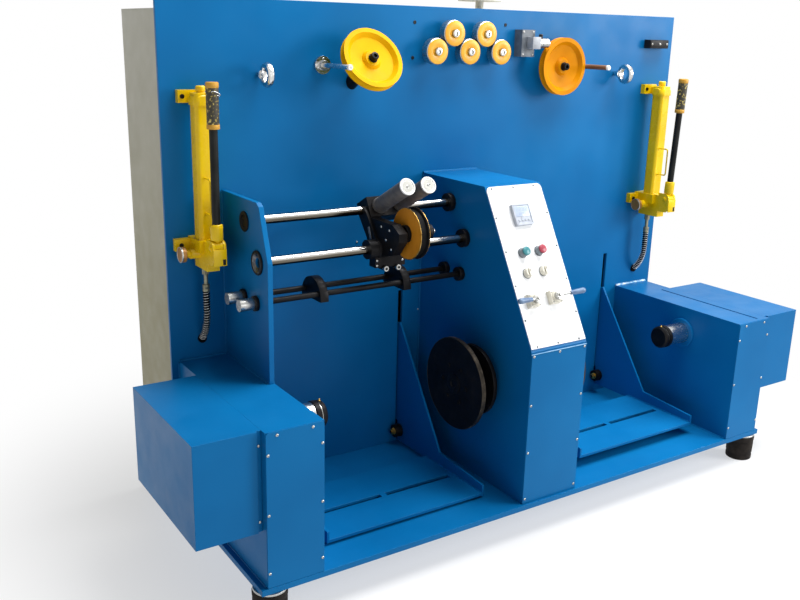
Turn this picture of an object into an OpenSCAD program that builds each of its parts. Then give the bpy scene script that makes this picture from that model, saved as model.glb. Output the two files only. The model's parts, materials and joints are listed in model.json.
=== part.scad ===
// Wire rewinding machine with two spool stations, a traverse carriage and hydraulic lifting tables.
// Millimetres. +Z is up and the front faces -Y. The origin is on the floor, under the middle.

/* [Frame] */
// Height of the upright panel above the base plate
panel_h = 1524; // [1480:2:1700]
// Thickness of the upright panel
panel_t = 12; // [8:1:20]
// Width of the base plate
base_w = 2090; // [1960:10:2400]
// How far the upright panel stands out beyond each side of the base plate
panel_overhang = 5; // [0:1:15]
// Thickness of the base plate
base_t = 18; // [12:1:25]
// From the panel's front face to the base plate's front edge
base_front = 620; // [620:5:720]
// From the panel's front face to the back of the rear covers
cabinet_depth = 340; // [240:5:450]
// Height of a rubber foot with its washer
foot_h = 100; // [60:1:120]
// Diameter of a rubber foot
foot_d = 100; // [70:1:110]
// Thickness of the steel washer on top of a foot
foot_washer_t = 6; // [3:1:10]
// How much narrower a foot is at the floor than at its top
foot_taper = 6; // [0:1:16]
// From the base plate's edges to a foot's centre
foot_inset = 42; // [40:1:90]

/* [Cabinet] */
// How far the cabinet stands in from each side of the base plate
cabinet_inset = 6; // [2:1:40]
// How far the cabinet's roof lies below the panel's top
roof_drop = 35; // [10:1:80]
// Thickness of the cabinet's sheet
sheet_t = 3; // [2:0.5:6]
// Gap between the two rear covers
rear_gap = 3; // [2:1:8]

/* [Console] */
// Width of the console
console_w = 228; // [200:2:280]
// From the panel's middle to the console's middle, towards the left
console_shift = 21; // [0:1:40]
// Height of the console's flat top
console_h = 981; // [940:1:1040]
// From the panel to the edge where the slope starts
console_top_d = 343; // [300:1:380]
// From the panel to the console's lower front face
console_front_d = 611; // [560:1:615]
// Height of the edge where the slope ends
console_nose_h = 512; // [480:1:560]
// Thickness of the control panel and the front covers
cover_t = 3; // [2:0.5:5]
// Bare margin round the control panel
control_margin = 2; // [1:0.5:6]
// Radius of the control panel's upper corners
control_corner_r = 16; // [6:1:30]
// Radius of the columns' front covers at their upper corners
cover_corner_r = 10; // [4:1:20]

/* [Side boxes] */
// Width of a side column
column_w = 172; // [150:1:220]
// Height of a side column
column_h = 452; // [440:1:520]
// From the panel to a column's front face
column_d = 619; // [560:1:619]
// From the base plate's side edge to a column's outer face
column_inset = 18; // [10:1:40]
// Width of the wing box on a column's outer side
wing_w = 188; // [120:1:220]
// From the panel to a wing's front face
wing_front_d = 599; // [540:1:610]
// From the panel to a wing's back face
wing_back_d = 140; // [60:1:200]
// Height of a wing's underside
wing_bottom_h = 162; // [120:1:220]
// Width of the slit in the right column's top
slit_w = 8; // [4:0.5:12]
// Depth of that slit
slit_deep = 24; // [8:1:40]
// From the column's outer face to that slit
slit_inset = 46; // [30:1:70]
// Width of the set-back flange that joins a wing to its column
wing_flange_w = 14; // [8:1:24]
// How far that flange is set back
wing_flange_deep = 7; // [3:1:12]

/* [Traverse] */
// Thickness of the bracket plate
bracket_t = 16; // [12:1:25]
// Height of the bracket plate's top
bracket_h = 972; // [950:1:1040]
// From the panel to the bracket plate's upper front corner
bracket_top_d = 258; // [240:1:290]
// From the panel to the bracket plate's vertical front edge
bracket_d = 315; // [300:1:350]
// Height where the bracket plate's front edge turns upright
bracket_knee_h = 809; // [760:1:840]
// Diameter of a chrome guide bar
bar_d = 28; // [20:1:32]
// From the panel to the upper guide bar
upper_bar_y = 165; // [150:1:180]
// Height of the upper guide bar
upper_bar_z = 905; // [890:1:915]
// From the panel to the lower guide bar
lower_bar_y = 250; // [240:1:262]
// Height of the lower guide bar
lower_bar_z = 800; // [790:1:806]
// Diameter of a guide bar's end flange
bar_flange_d = 60; // [48:1:70]
// Thickness of an end flange
bar_flange_t = 18; // [10:1:25]
// Diameter of a trip rod
rod_d = 18; // [12:1:22]
// Height of the trip rods
rod_z = 677; // [660:1:684]
// From the panel to the rear trip rod
rear_rod_y = 153; // [140:1:165]
// From the panel to the front trip rod
front_rod_y = 237; // [225:1:250]
// Diameter of a trip rod's end flange
rod_flange_d = 46; // [34:1:60]
// Diameter of the knob on a trip rod
rod_knob_d = 36; // [24:1:44]
// Length of the knob on a trip rod
rod_knob_l = 46; // [30:1:60]
// Thickness of a trip dog along the rods
dog_t = 28; // [16:1:40]
// How far a trip dog reaches beyond each rod
dog_edge = 11; // [8:1:16]
// How far a trip dog's round back lies below the rods' middle
dog_drop = 16; // [12:1:20]
// Height of a trip dog's straight foot
dog_foot = 6; // [4:1:10]
// From the console to the trip dog near it
near_dog_x = 225; // [200:1:300]
// From the console to the far trip dog
far_dog_x = 523; // [450:1:600]

/* [Carriage] */
// From the console to the carriage's left end
carriage_x = 345; // [330:1:380]
// From the carriage's left end to the upper bearing housing
housing_x = 10; // [0:1:20]
// Length of the upper bearing housing
housing_l = 140; // [134:1:150]
// Width and height of the upper bearing housing
housing_s = 64; // [56:1:76]
// Length of the lower bearing and web
web_l = 48; // [40:1:50]
// Thickness of the web between the bearings
web_t = 44; // [36:1:56]
// Outer diameter of the lower bearing
lower_bearing_d = 62; // [52:1:70]
// Diameter of the flanged bush on the lower bearing
bush_d = 60; // [50:1:62]
// Length of the flanged bush
bush_l = 30; // [8:1:34]
// From the panel to the pulley's axle
pulley_y = 340; // [335:1:360]
// Height of the pulley's axle
pulley_z = 858; // [845:1:870]
// Diameter of the carriage pulley
pulley_d = 155; // [120:1:160]
// Width of the carriage pulley
pulley_w = 32; // [20:1:40]
// Depth of the pulley's groove
groove_deep = 14; // [6:1:20]
// Diameter of the pulley's axle
axle_d = 22; // [14:1:28]
// From the carriage's left end to the pulley's left face
pulley_x = 56; // [56:1:66]
// Diameter of a guide roller
roller_d = 52; // [36:1:60]
// Length of a guide roller
roller_l = 172; // [120:1:200]
// Distance between the guide rollers' axes
roller_pitch = 75; // [72:1:78]
// Upward tilt of the guide rollers
roller_tilt = 28; // [20:1:35]
// Diameter of a guide roller's spindle
spindle_d = 16; // [10:1:24]

/* [Spool drive] */
// From the panel to the spool axis
spool_y = 362; // [350:1:380]
// Height of the spool axis
spool_z = 350; // [340:1:365]
// Diameter of the driving flange
flange_d = 304; // [260:1:310]
// Diameter of the flange's inner disc
inner_disc_d = 236; // [200:1:260]
// Thickness of both discs
disc_t = 14; // [8:1:18]
// From the console to the driving flange's face
flange_reach = 106; // [96:1:125]
// From the console to the inner disc
inner_disc_gap = 20; // [8:1:30]
// Diameter of the drive hub between the discs
drive_hub_d = 110; // [80:1:140]
// Diameter of the drive shaft in the console
shaft_d = 50; // [36:1:60]
// Length of the drive shaft inside the console
shaft_l = 70; // [40:1:90]

/* [Pintles] */
// Diameter of the pintle's steel sleeve
sleeve_d = 78; // [60:1:84]
// How far the sleeve stands out of its column
sleeve_out = 94; // [80:1:105]
// Length of the sleeve inside its column
sleeve_in = 92; // [80:1:100]
// How far the pintle draws back from its rest position
pintle_back = 70; // [40:1:70]
// Diameter of the turning nose
nose_d = 84; // [70:1:100]
// Length of the turning nose
nose_l = 38; // [34:1:60]
// Width of the ring at the back of the nose
nose_ring = 18; // [10:1:20]
// Diameter of the sleeve's spigot in the nose
spigot_d = 40; // [24:1:50]
// Length of the sleeve's spigot
spigot_l = 24; // [15:1:28]

/* [Lifting tables] */
// Thickness of a gusset
gusset_t = 8; // [6:1:12]
// From the left column to the left table's left gusset
left_outer_x = 71; // [60:1:90]
// From the console to the left table's right gusset
left_gusset_x = 81; // [75:1:100]
// From the console to the right table's left gusset
right_inner_x = 119; // [115:1:140]
// From the right column to the right table's right gusset
right_gusset_x = 75; // [60:1:90]
// Height of the left table's top
left_table_z = 18; // [17:1:40]
// Height of the right table's top
right_table_z = 45; // [40:1:60]
// Height of a gusset at the panel, above the table's top
gusset_h = 412; // [380:1:430]
// Extra height of the left table's gussets
left_gusset_extra = 27; // [0:1:30]
// Thickness of a table plate
table_t = 10; // [8:1:12]
// From the panel to a table's front edge
table_front_d = 510; // [480:1:540]
// From the panel to a table's back edge
table_back_d = 192; // [150:1:220]
// From the panel to the knee of a gusset
knee_d = 270; // [250:1:290]
// Height of a gusset at its knee
knee_h = 42; // [36:1:50]
// Height of a gusset at its front end
toe_h = 27; // [20:1:34]
// Width of the slots in a table
table_slot_w = 18; // [12:1:24]
// From the panel to the slots in a table
table_slot_d = 357; // [330:1:380]
// Width of the bridge between a table's slots
slot_bridge = 20; // [14:1:40]
// From a gusset to the end of the nearest slot
slot_end = 26; // [16:1:50]
// Diameter of a table's guide roller
table_roller_d = 46; // [36:1:56]
// Width of a table's guide roller
table_roller_w = 24; // [14:1:32]
// Height of a guide roller's axle above the table's top
table_roller_rise = 34; // [30:1:60]
// Gap between a guide roller and the panel
panel_run = 2; // [1:0.5:4]
// Lift of a table from its rest position
table_lift = 110; // [60:1:110]
// Extra height of the right table's slots in the panel
right_slot_extra = 24; // [0:1:30]

/* [Wire path] */
// From the panel's top to the lower row of straightening rollers
row_drop = 141; // [110:1:170]
// Diameter of a straightening roller
straightener_d = 84; // [70:1:86]
// Width of a straightening roller
straightener_w = 34; // [20:1:40]
// Distance between neighbouring roller axes along the row
straightener_pitch = 67; // [66:1:80]
// Height of the upper row above the lower row
row_rise = 58; // [56:1:70]
// From the panel to the back of the straightening rollers
straightener_gap = 24; // [12:1:40]
// Diameter of a sheave
sheave_d = 200; // [160:1:210]
// Width of a sheave
sheave_w = 26; // [18:1:36]
// From the panel's middle to a sheave
sheave_x = 420; // [400:1:460]
// From the panel's top to the left sheave's hub
left_sheave_drop = 166; // [150:1:190]
// From the panel to the left sheave's hub
left_sheave_y = 118; // [110:1:140]
// Upward tilt of the left sheave
sheave_tilt = 31; // [20:1:35]
// From the panel's top to the right sheave's hub
right_sheave_drop = 187; // [160:1:210]
// From the panel to the back of the right sheave
right_sheave_gap = 44; // [20:1:70]
// Diameter of the sheaves' studs
stud_d = 20; // [14:1:26]
// From the panel's middle to a guide post
post_x = 530; // [525:1:560]
// From the panel's top to the guide posts
post_drop = 187; // [160:1:210]
// Length of a guide post
post_l = 180; // [120:1:220]
// Diameter of a guide post
post_d = 15; // [10:1:20]
// Diameter of a guide post's flange
post_flange_d = 55; // [40:1:64]
// From the panel's side edge to a wire eye
eye_inset = 308; // [270:1:340]
// From the panel's top to the wire eyes
eye_drop = 214; // [190:1:240]
// From the panel to the middle of a wire eye
eye_y = 58; // [45:1:80]
// Outer diameter of a wire eye
eye_d = 72; // [56:1:80]
// Diameter of the hole in a wire eye
eye_hole_d = 42; // [30:1:46]
// Width of a wire eye
eye_w = 20; // [12:1:30]
// Diameter of a wire eye's stem where it meets the ring
eye_stem_d = 32; // [20:1:36]

/* [Hand pumps] */
// From the panel's side edge to a pump's tank
pump_inset = 100; // [90:1:120]
// From the panel's top to the top of a pump's tank
pump_drop = 262; // [230:1:300]
// From the panel to the tank's axis
tank_y = 60; // [50:1:66]
// Width and depth of the tank
tank_s = 52; // [46:1:60]
// Radius of the tank's corners
tank_corner_r = 12; // [8:1:18]
// How far the tank's head stands out round the tank
head_edge = 4; // [2:1:6]
// Diameter of the filler cap
filler_d = 28; // [20:1:32]
// Height of the filler cap
filler_h = 20; // [12:1:26]
// Length of the tank
tank_l = 420; // [380:1:440]
// Height of the pump's base block
block_h = 88; // [80:1:110]
// From the panel to the front of the pump's base block
block_d = 115; // [105:1:120]
// From the panel to the lever's pivot
pivot_y = 147; // [140:1:160]
// Width of the fork that carries the lever
fork_w = 40; // [34:1:50]
// Thickness of one side of the fork
cheek_t = 8; // [6:1:10]
// Diameter of the lever's pivot pin
pivot_d = 12; // [8:1:16]
// Diameter of the lever's tube
lever_d = 24; // [16:1:28]
// Diameter of the lever's socket
socket_d = 36; // [30:1:40]
// Length of the lever's socket
socket_l = 44; // [36:1:60]
// Length of the lever's bare tube
lever_l = 272; // [220:1:300]
// Diameter of the lever's grip
grip_d = 34; // [28:1:40]
// Length of the lever's grip
grip_l = 125; // [90:1:140]
// Forward tilt of the right lever
right_lever_tilt = 2; // [0:0.5:8]
// Diameter of the release knob
release_d = 46; // [36:1:56]
// Diameter of the hose with its spring guard
hose_d = 16; // [12:1:20]
// Bend radius of the hose
hose_r = 130; // [110:1:160]
// Length of the hose's steel fitting under the pump
fitting_l = 124; // [90:1:130]
// From the pump's underside to the hose's end in the panel
hose_drop = 239; // [230:1:270]
// Diameter of the grommet in the panel
grommet_d = 28; // [24:1:44]

/* [Controls] */
// Side of the square panel meter
meter_s = 72; // [48:1:96]
// Diameter of a push-button or selector bezel
bezel_d = 29; // [26:1:32]
// Diameter of a button's cap
cap_d = 25; // [18:1:26]
// From the console's left side to the middle of the meter
meter_x = 109; // [80:1:130]
// From the upper edge of the slope to the middle of the meter
meter_down = 104; // [80:1:130]
// Length of the left valve lever
left_valve_lever_l = 82; // [70:1:110]
// Length of the right valve lever
right_valve_lever_l = 101; // [70:1:110]
// Length of a valve lever's grip
valve_grip_l = 56; // [40:1:60]
// Diameter of a valve lever's grip
valve_grip_d = 17; // [12:1:20]

/* [Hidden] */
$fn = 64;
run = 0.05;
slide_gap = 0.3;
clear = 5;
eps = 0.01;
blue = [0.07, 0.34, 0.60];
black = [0.06, 0.06, 0.07];
steel = [0.76, 0.77, 0.78];
yellow = [0.95, 0.78, 0.08];
orange = [0.90, 0.55, 0.10];
cream = [0.88, 0.86, 0.80];

panel_w = base_w + 2 * panel_overhang;
panel_y = (base_front - cabinet_depth) / 2;
deck = foot_h + base_t;
column_out = base_w / 2 - column_inset;
column_in = column_out - column_w;
console_l = -console_shift - console_w / 2;
console_r = -console_shift + console_w / 2;
slope = atan2(console_front_d - console_top_d, console_h - console_nose_h);
slope_l = norm([console_front_d - console_top_d, console_h - console_nose_h]);
roof_h = panel_h - roof_drop;
cabinet_w = base_w - 2 * cabinet_inset;

bracket_l = -column_in - bracket_t;
upper_bar = [-upper_bar_y, upper_bar_z];
lower_bar = [-lower_bar_y, lower_bar_z];
rods = [-rear_rod_y, -front_rod_y];
dog_mid = -(rear_rod_y + front_rod_y) / 2;
dog_r = (front_rod_y - rear_rod_y + rod_d) / 2 + dog_edge;
carriage_l = console_l - carriage_x;
arm_w = 38;
roller_start = housing_s / 2 + 2;
roller_inset = 39;
roller_xs = [carriage_l + housing_x + roller_inset, carriage_l + housing_x + roller_inset + roller_pitch];

left_gussets = [-column_in + left_outer_x, console_l - left_gusset_x];
right_gussets = [console_r + right_inner_x, column_in - right_gusset_x];
left_gusset_top = left_table_z + gusset_h + left_gusset_extra;
right_gusset_top = right_table_z + gusset_h;
tongue_rise = 60;

tank_top = panel_h - pump_drop;
block_top = tank_top - tank_l;
block_w = 64;
block_foot_w = 38;
block_shelf = 36;
outlet_y = 50;
release_drop = 44;
release_boss_x = 45;
release_x = 77;
pivot_z = block_top - 10;
cheek_r = 20;
fork_bottom = block_top - 63;
hub_r = cheek_r - 1;
head_h = 34;
hose_top = block_top - block_h - fitting_l;
hose_end = block_top - block_h - hose_drop;
hose_turn = acos(1 - outlet_y / hose_r);
hose_knee = hose_end + hose_r * sin(hose_turn);

eye_x = panel_w / 2 - eye_inset;
pump_x = panel_w / 2 - pump_inset;

// Position of each straightening roller along the panel and above the lower row
straighteners = [for (i = [-2:2]) [i * straightener_pitch + 3, (i % 2 == 0) ? 0 : row_rise]];

// Places its children with the panel's front face at Y 0 and the base plate's top at Z 0
module at_panel() translate([0, panel_y, deck]) children();

// Turns local +Z to the front, so that a shape stands out of the panel
module out_of_panel(x, z, gap = 0) at_panel() translate([x, -gap, z]) rotate([90, 0, 0]) children();

// Turns local +Z along +X at a point given from the panel and the base plate
module along_x(x, y, z) at_panel() translate([x, y, z]) rotate([0, 90, 0]) children();

// Extrudes an outline drawn in Y and Z along +X
module side_profile(x, w) at_panel() translate([x, 0, 0]) rotate([90, 0, 90]) linear_extrude(w) children();

// Local X runs along the console, local Y up its slope, and local Z out of it
module on_slope(x, s) at_panel() translate([console_l, -console_top_d, console_h])
    rotate([90 - slope, 0, 0]) translate([x, -s, 0]) children();

// Local +Z points to the front and upwards by the tilt
module tilted(x, y, z, tilt) at_panel() translate([x, y, z]) rotate([90 - tilt, 0, 0]) children();

module tube(d, bore, h) difference() {
    cylinder(d = d, h = h);
    translate([0, 0, -eps]) cylinder(d = bore, h = h + 2 * eps);
}

// Frame

module base_plate() color(blue) translate([-base_w / 2, panel_y - base_front, foot_h])
    cube([base_w, base_front + cabinet_depth, base_t]);

module rubber_feet() color(black)
    for (sx = [-1, 1], y = [-base_front + foot_inset, cabinet_depth - foot_inset])
        translate([sx * (base_w / 2 - foot_inset), panel_y + y, 0]) {
            cylinder(d1 = foot_d - foot_taper, d2 = foot_d, h = foot_h - foot_washer_t);
            translate([0, 0, foot_h - foot_washer_t - eps]) cylinder(d = foot_d - 4, h = foot_washer_t + eps);
        }

module table_slots(gussets, top) for (x = gussets)
    translate([x - gusset_t / 2 - clear, -eps, tongue_rise])
        cube([gusset_t + 2 * clear, panel_t + 2 * eps, top + table_lift + clear - tongue_rise]);

module back_panel() color(blue) at_panel() difference() {
    translate([-panel_w / 2, 0, 0]) cube([panel_w, panel_t, panel_h]);
    table_slots(left_gussets, left_gusset_top);
    table_slots(right_gussets, right_gusset_top + right_slot_extra);
}

module cabinet_sides() color("gainsboro") at_panel() for (sx = [-1, 1])
    translate([sx * (cabinet_w - sheet_t) / 2 - sheet_t / 2, panel_t, 0])
        cube([sheet_t, cabinet_depth - sheet_t - panel_t, roof_h - sheet_t]);

module cabinet_roof() color("gainsboro") at_panel() translate([-cabinet_w / 2, panel_t, roof_h - sheet_t])
    cube([cabinet_w, cabinet_depth - sheet_t - panel_t, sheet_t]);

module rear_covers() color("gainsboro") at_panel() for (x = [-cabinet_w / 2, rear_gap / 2])
    translate([x, cabinet_depth - sheet_t, 0]) cube([(cabinet_w - rear_gap) / 2, sheet_t, roof_h]);

// Console

module console_housing() color(blue) difference() {
    side_profile(console_l, console_w) polygon([
        [0, 0], [0, console_h],
        [-console_top_d + cover_t / cos(slope), console_h],
        [-console_front_d + cover_t,
            console_h - (console_front_d - console_top_d - cover_t + cover_t / cos(slope)) / tan(slope)],
        [-console_front_d + cover_t, 0]]);
    along_x(console_l - eps, -spool_y, spool_z) cylinder(d = shaft_d + 2 * run, h = shaft_l + 1);
    along_x(console_r - shaft_l - 1, -spool_y, spool_z) cylinder(d = shaft_d + 2 * run, h = shaft_l + 1 + eps);
}

control_w = console_w - 2 * control_margin;
control_l = slope_l - 10;

// A plate with two rounded upper corners
module rounded_top(w, h, r) {
    square([w, h - r]);
    translate([r, 0]) square([w - 2 * r, h]);
    for (x = [r, w - r]) translate([x, h - r]) circle(r);
}

module control_panel() color("white") on_slope(control_margin, control_l) translate([0, 0, -cover_t])
    linear_extrude(cover_t) rounded_top(control_w, control_l - control_margin, control_corner_r);

module front_cover(x, w, front, h, r) out_of_panel(x + 1, 1, front - cover_t) linear_extrude(cover_t)
    rounded_top(w - 2, h - 2, r);

module front_covers() color(blue) {
    front_cover(console_l, console_w, console_front_d, console_nose_h - 4, cover_corner_r / 2);
    for (x = [-column_out, column_in]) front_cover(x, column_w, column_d, column_h, cover_corner_r);
}

module panel_meter() color([0.25, 0.26, 0.28]) on_slope(meter_x, meter_down) difference() {
    translate([-meter_s / 2, -meter_s / 2, 0]) cube([meter_s, meter_s, 12]);
    translate([-meter_s / 2 + 7, -meter_s / 2 + 14, 10]) cube([meter_s - 14, meter_s - 22, 3]);
}

button_xs = [console_w / 2 - 43, console_w / 2 + 24];
button_s = 227;
selector_xs = [console_w / 2 - 47, console_w / 2 + 19];
selector_s = 294;
valve_xs = [console_w / 2 - 62, console_w / 2 + 26];
valve_s = 383;
button_h = 24;
press = 4;

module bezel(x, s, h) on_slope(x, s) tube(bezel_d, cap_d + 2 * slide_gap, h);

module control_bezels() color(steel) {
    for (x = button_xs) bezel(x, button_s, button_h - press - 1);
    for (x = selector_xs) bezel(x, selector_s, 8);
}

// A button's cap stands in its bezel, with room for its travel under it
module button(x) on_slope(x, button_s) {
    translate([0, 0, press + 2]) cylinder(d = cap_d, h = button_h - press - 4);
    translate([0, 0, button_h - 2 - eps]) cylinder(d1 = cap_d, d2 = cap_d - 3, h = 2);
}

module start_button() color("green") button(button_xs[0]);

module stop_button() color("red") button(button_xs[1]);

module selector(x) on_slope(x, selector_s) {
    translate([0, 0, slide_gap]) cylinder(d = cap_d, h = 14);
    translate([-4, -cap_d / 2 + 1, 14]) cube([8, cap_d - 2, 6]);
}

module left_selector() color(cream) selector(selector_xs[0]);

module right_selector() color(cream) selector(selector_xs[1]);

module valve_bodies() color(cream) for (x = valve_xs) on_slope(x, valve_s) difference() {
    union() {
        translate([-21, -21, 0]) cube([42, 42, 20]);
        cylinder(d = 34, h = 26);
    }
    translate([0, 0, 8]) cylinder(d = 12 + 2 * run, h = 20);
}

// A thin stem and a tapered grip with a round end, standing out sideways of the valve's hub
module valve_lever(x, side, l) on_slope(x, valve_s) {
    translate([0, 0, 10]) cylinder(d = 12, h = 20);
    translate([0, 0, 26 + slide_gap]) cylinder(d = 26, h = 12);
    translate([0, 0, 33]) rotate([0, side * 84, 0]) {
        translate([0, 0, 6]) cylinder(d = 8, h = l - valve_grip_l);
        translate([0, 0, l - valve_grip_l]) cylinder(d1 = valve_grip_d - 5, d2 = valve_grip_d, h = valve_grip_l - valve_grip_d / 2);
        translate([0, 0, l - valve_grip_d / 2]) sphere(d = valve_grip_d);
    }
}

module left_valve_lever() color([0.3, 0.3, 0.32]) valve_lever(valve_xs[0], -1, left_valve_lever_l);

module right_valve_lever() color([0.3, 0.3, 0.32]) valve_lever(valve_xs[1], 1, right_valve_lever_l);

// Side boxes

module side_column() difference() {
    at_panel() translate([column_in, -column_d + cover_t, 0]) cube([column_w, column_d - cover_t, column_h]);
    along_x(column_in - eps, -spool_y, spool_z)
        cylinder(d = sleeve_d + 2 * run, h = sleeve_in + pintle_back + clear);
}

// A slit in the right column's top only
module column_slit() at_panel() translate([column_out - slit_inset - slit_w, -wing_front_d, column_h - slit_deep])
    cube([slit_w, wing_front_d - wing_back_d, slit_deep + 1]);

module side_columns() color(blue) {
    mirror([1, 0, 0]) side_column();
    difference() {
        side_column();
        column_slit();
    }
}

module side_wings() color(blue) for (sx = [-1, 1]) mirror([sx < 0 ? 1 : 0, 0, 0]) at_panel() difference() {
    translate([column_out, -wing_front_d, wing_bottom_h])
        cube([wing_w, wing_front_d - wing_back_d, column_h - wing_bottom_h]);
    translate([column_out - eps, -wing_front_d - eps, wing_bottom_h - eps])
        cube([wing_flange_w, wing_flange_deep + eps, column_h - wing_bottom_h + 2 * eps]);
}

// Traverse

module bracket_plate() color(blue) difference() {
    side_profile(bracket_l, bracket_t) polygon([
        [0, column_h], [0, bracket_h], [-bracket_top_d + 12, bracket_h], [-bracket_top_d - 4, bracket_h - 10],
        [-bracket_d, bracket_knee_h], [-bracket_d, column_h]]);
    for (p = [upper_bar, lower_bar]) along_x(bracket_l - 1, p[0], p[1])
        cylinder(d = bar_d + 2 * run, h = bracket_t + 2);
    for (y = rods) along_x(bracket_l - 1, y, rod_z) cylinder(d = rod_d + 2 * run, h = bracket_t + 2);
}

// The bars stop a little inside the bracket plate's outer face
module guide_bars() color(steel) for (p = [upper_bar, lower_bar])
    along_x(bracket_l + 6, p[0], p[1]) cylinder(d = bar_d, h = console_l - bracket_l - 6);

module bar_flanges() color(black) {
    for (p = [upper_bar, lower_bar]) along_x(console_l - bar_flange_t, p[0], p[1])
        tube(bar_flange_d, bar_d + 2 * run, bar_flange_t);
    for (y = rods) {
        along_x(console_l - bar_flange_t, y, rod_z) tube(rod_flange_d, rod_d + 2 * run, bar_flange_t);
        along_x(bracket_l - 10, y, rod_z) tube(rod_flange_d, rod_d + 2 * run, 10);
    }
}

module trip_rods() color(black) for (y = rods)
    along_x(bracket_l - 24, y, rod_z) cylinder(d = rod_d, h = console_l - bracket_l + 24);

module rod_knobs() color(steel) for (y = rods) along_x(bracket_l - 10 - rod_knob_l, y, rod_z) difference() {
    cylinder(d = rod_knob_d, h = rod_knob_l);
    translate([0, 0, rod_knob_l - 14 - run]) cylinder(d = rod_d + 2 * run, h = 15);
}

// A dog is clamped on both rods and has a round back
module trip_dog(x) difference() {
    union() {
        intersection() {
            along_x(x - dog_t / 2, dog_mid, rod_z - dog_drop) cylinder(r = dog_r, h = dog_t);
            at_panel() translate([x - dog_t, dog_mid - 2 * dog_r, rod_z - dog_drop])
                cube([2 * dog_t, 4 * dog_r, 2 * dog_r]);
        }
        at_panel() translate([x - dog_t / 2, dog_mid - dog_r, rod_z - dog_drop - dog_foot])
            cube([dog_t, 2 * dog_r, dog_foot]);
    }
    for (y = rods) along_x(x - dog_t, y, rod_z) cylinder(d = rod_d + 2 * run, h = 2 * dog_t);
}

module trip_dogs() color(black) {
    trip_dog(console_l - near_dog_x);
    trip_dog(console_l - far_dog_x);
}

// Carriage

module carriage_solid() {
    at_panel() translate([carriage_l + housing_x, upper_bar[0], upper_bar[1]]) rotate([-roller_tilt, 0, 0])
        translate([0, -housing_s / 2, -housing_s / 2]) cube([housing_l, housing_s, housing_s]);
    web = lower_bar - upper_bar;
    at_panel() translate([carriage_l, upper_bar[0], upper_bar[1]]) rotate([atan2(web[1], web[0]), 0, 0])
        translate([0, 0, -web_t / 2]) cube([web_l, norm(web) + 6, web_t]);
    along_x(carriage_l - bush_l, lower_bar[0], lower_bar[1]) cylinder(d = bush_d, h = bush_l + eps);
    along_x(carriage_l, lower_bar[0], lower_bar[1]) cylinder(d = lower_bearing_d, h = web_l + 2);
    side_profile(carriage_l + 8, arm_w - 8) polygon([
        upper_bar + [-10, -16], [-pulley_y + 6, pulley_z + 30], [-pulley_y - 32, pulley_z + 8],
        [-pulley_y - 32, pulley_z - 18], [-pulley_y + 6, lower_bar_z - 6], lower_bar + [0, -24]]);
    along_x(carriage_l + arm_w - eps, -pulley_y, pulley_z) cylinder(d = axle_d, h = pulley_x + 90 - arm_w);
    along_x(carriage_l + pulley_x + 62, -pulley_y, pulley_z) cylinder(d = 46, h = 20);
    for (x = roller_xs) tilted(x, upper_bar[0], upper_bar[1], roller_tilt)
        translate([0, 0, housing_s / 2 - 1]) cylinder(d = spindle_d, h = roller_l - 20);
}

module limit_switch() at_panel() {
    translate([carriage_l - 8, lower_bar[0] - 18, lower_bar_z - lower_bearing_d / 2 - 26]) cube([108, 36, 32]);
    for (x = [25, 70]) translate([carriage_l + x, lower_bar[0] + 10, lower_bar_z - lower_bearing_d / 2 - 29])
        rotate([90, 0, 0]) cylinder(d = 16, h = 20);
}

module carriage_body() color(black) difference() {
    union() {
        carriage_solid();
        limit_switch();
    }
    for (p = [upper_bar, lower_bar]) along_x(carriage_l - 50, p[0], p[1])
        cylinder(d = bar_d + 2 * run, h = housing_x + housing_l + 100);
}

module carriage_pulley() color(orange) along_x(carriage_l + pulley_x, -pulley_y, pulley_z) rotate_extrude() {
    r = pulley_d / 2;
    bore = axle_d / 2 + run;
    polygon([[bore, -12], [24, -12], [24, 0], [r, 0], [r, 5], [r - groove_deep, 10],
        [r - groove_deep, pulley_w - 10], [r, pulley_w - 5], [r, pulley_w], [20, pulley_w], [20, 60], [bore, 60]]);
}

module guide_roller(x) tilted(x, upper_bar[0], upper_bar[1], roller_tilt) translate([0, 0, roller_start])
    difference() {
    union() {
        cylinder(d = roller_d - 3, h = roller_l);
        cylinder(d = roller_d, h = 10);
        translate([0, 0, roller_l - 8]) cylinder(d = roller_d, h = 8);
    }
    translate([0, 0, -1]) cylinder(d = spindle_d + 2 * run, h = roller_l - 20);
}

module left_guide_roller() color([0.2, 0.2, 0.22]) guide_roller(roller_xs[0]);

module right_guide_roller() color([0.2, 0.2, 0.22]) guide_roller(roller_xs[1]);

// Spool drive and pintles, drawn along +Z from the wall that carries them

module drive_flange() rotate_extrude() polygon([
    [0, -shaft_l], [shaft_d / 2, -shaft_l], [shaft_d / 2, clear], [drive_hub_d / 2, clear],
    [drive_hub_d / 2, inner_disc_gap], [inner_disc_d / 2, inner_disc_gap],
    [inner_disc_d / 2, inner_disc_gap + disc_t], [drive_hub_d / 2, inner_disc_gap + disc_t],
    [drive_hub_d / 2, flange_reach - disc_t], [flange_d / 2, flange_reach - disc_t],
    [flange_d / 2, flange_reach - 2], [flange_d / 2 - 2, flange_reach], [0, flange_reach]]);

module left_drive_flange() color(black) along_x(console_l, -spool_y, spool_z) mirror([0, 0, 1]) drive_flange();

module right_drive_flange() color(black) along_x(console_r, -spool_y, spool_z) drive_flange();

module pintle_sleeve() {
    translate([0, 0, -sleeve_in]) cylinder(d = sleeve_d, h = sleeve_in + sleeve_out);
    translate([0, 0, sleeve_out - eps]) cylinder(d = spigot_d, h = spigot_l + eps);
}

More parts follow.
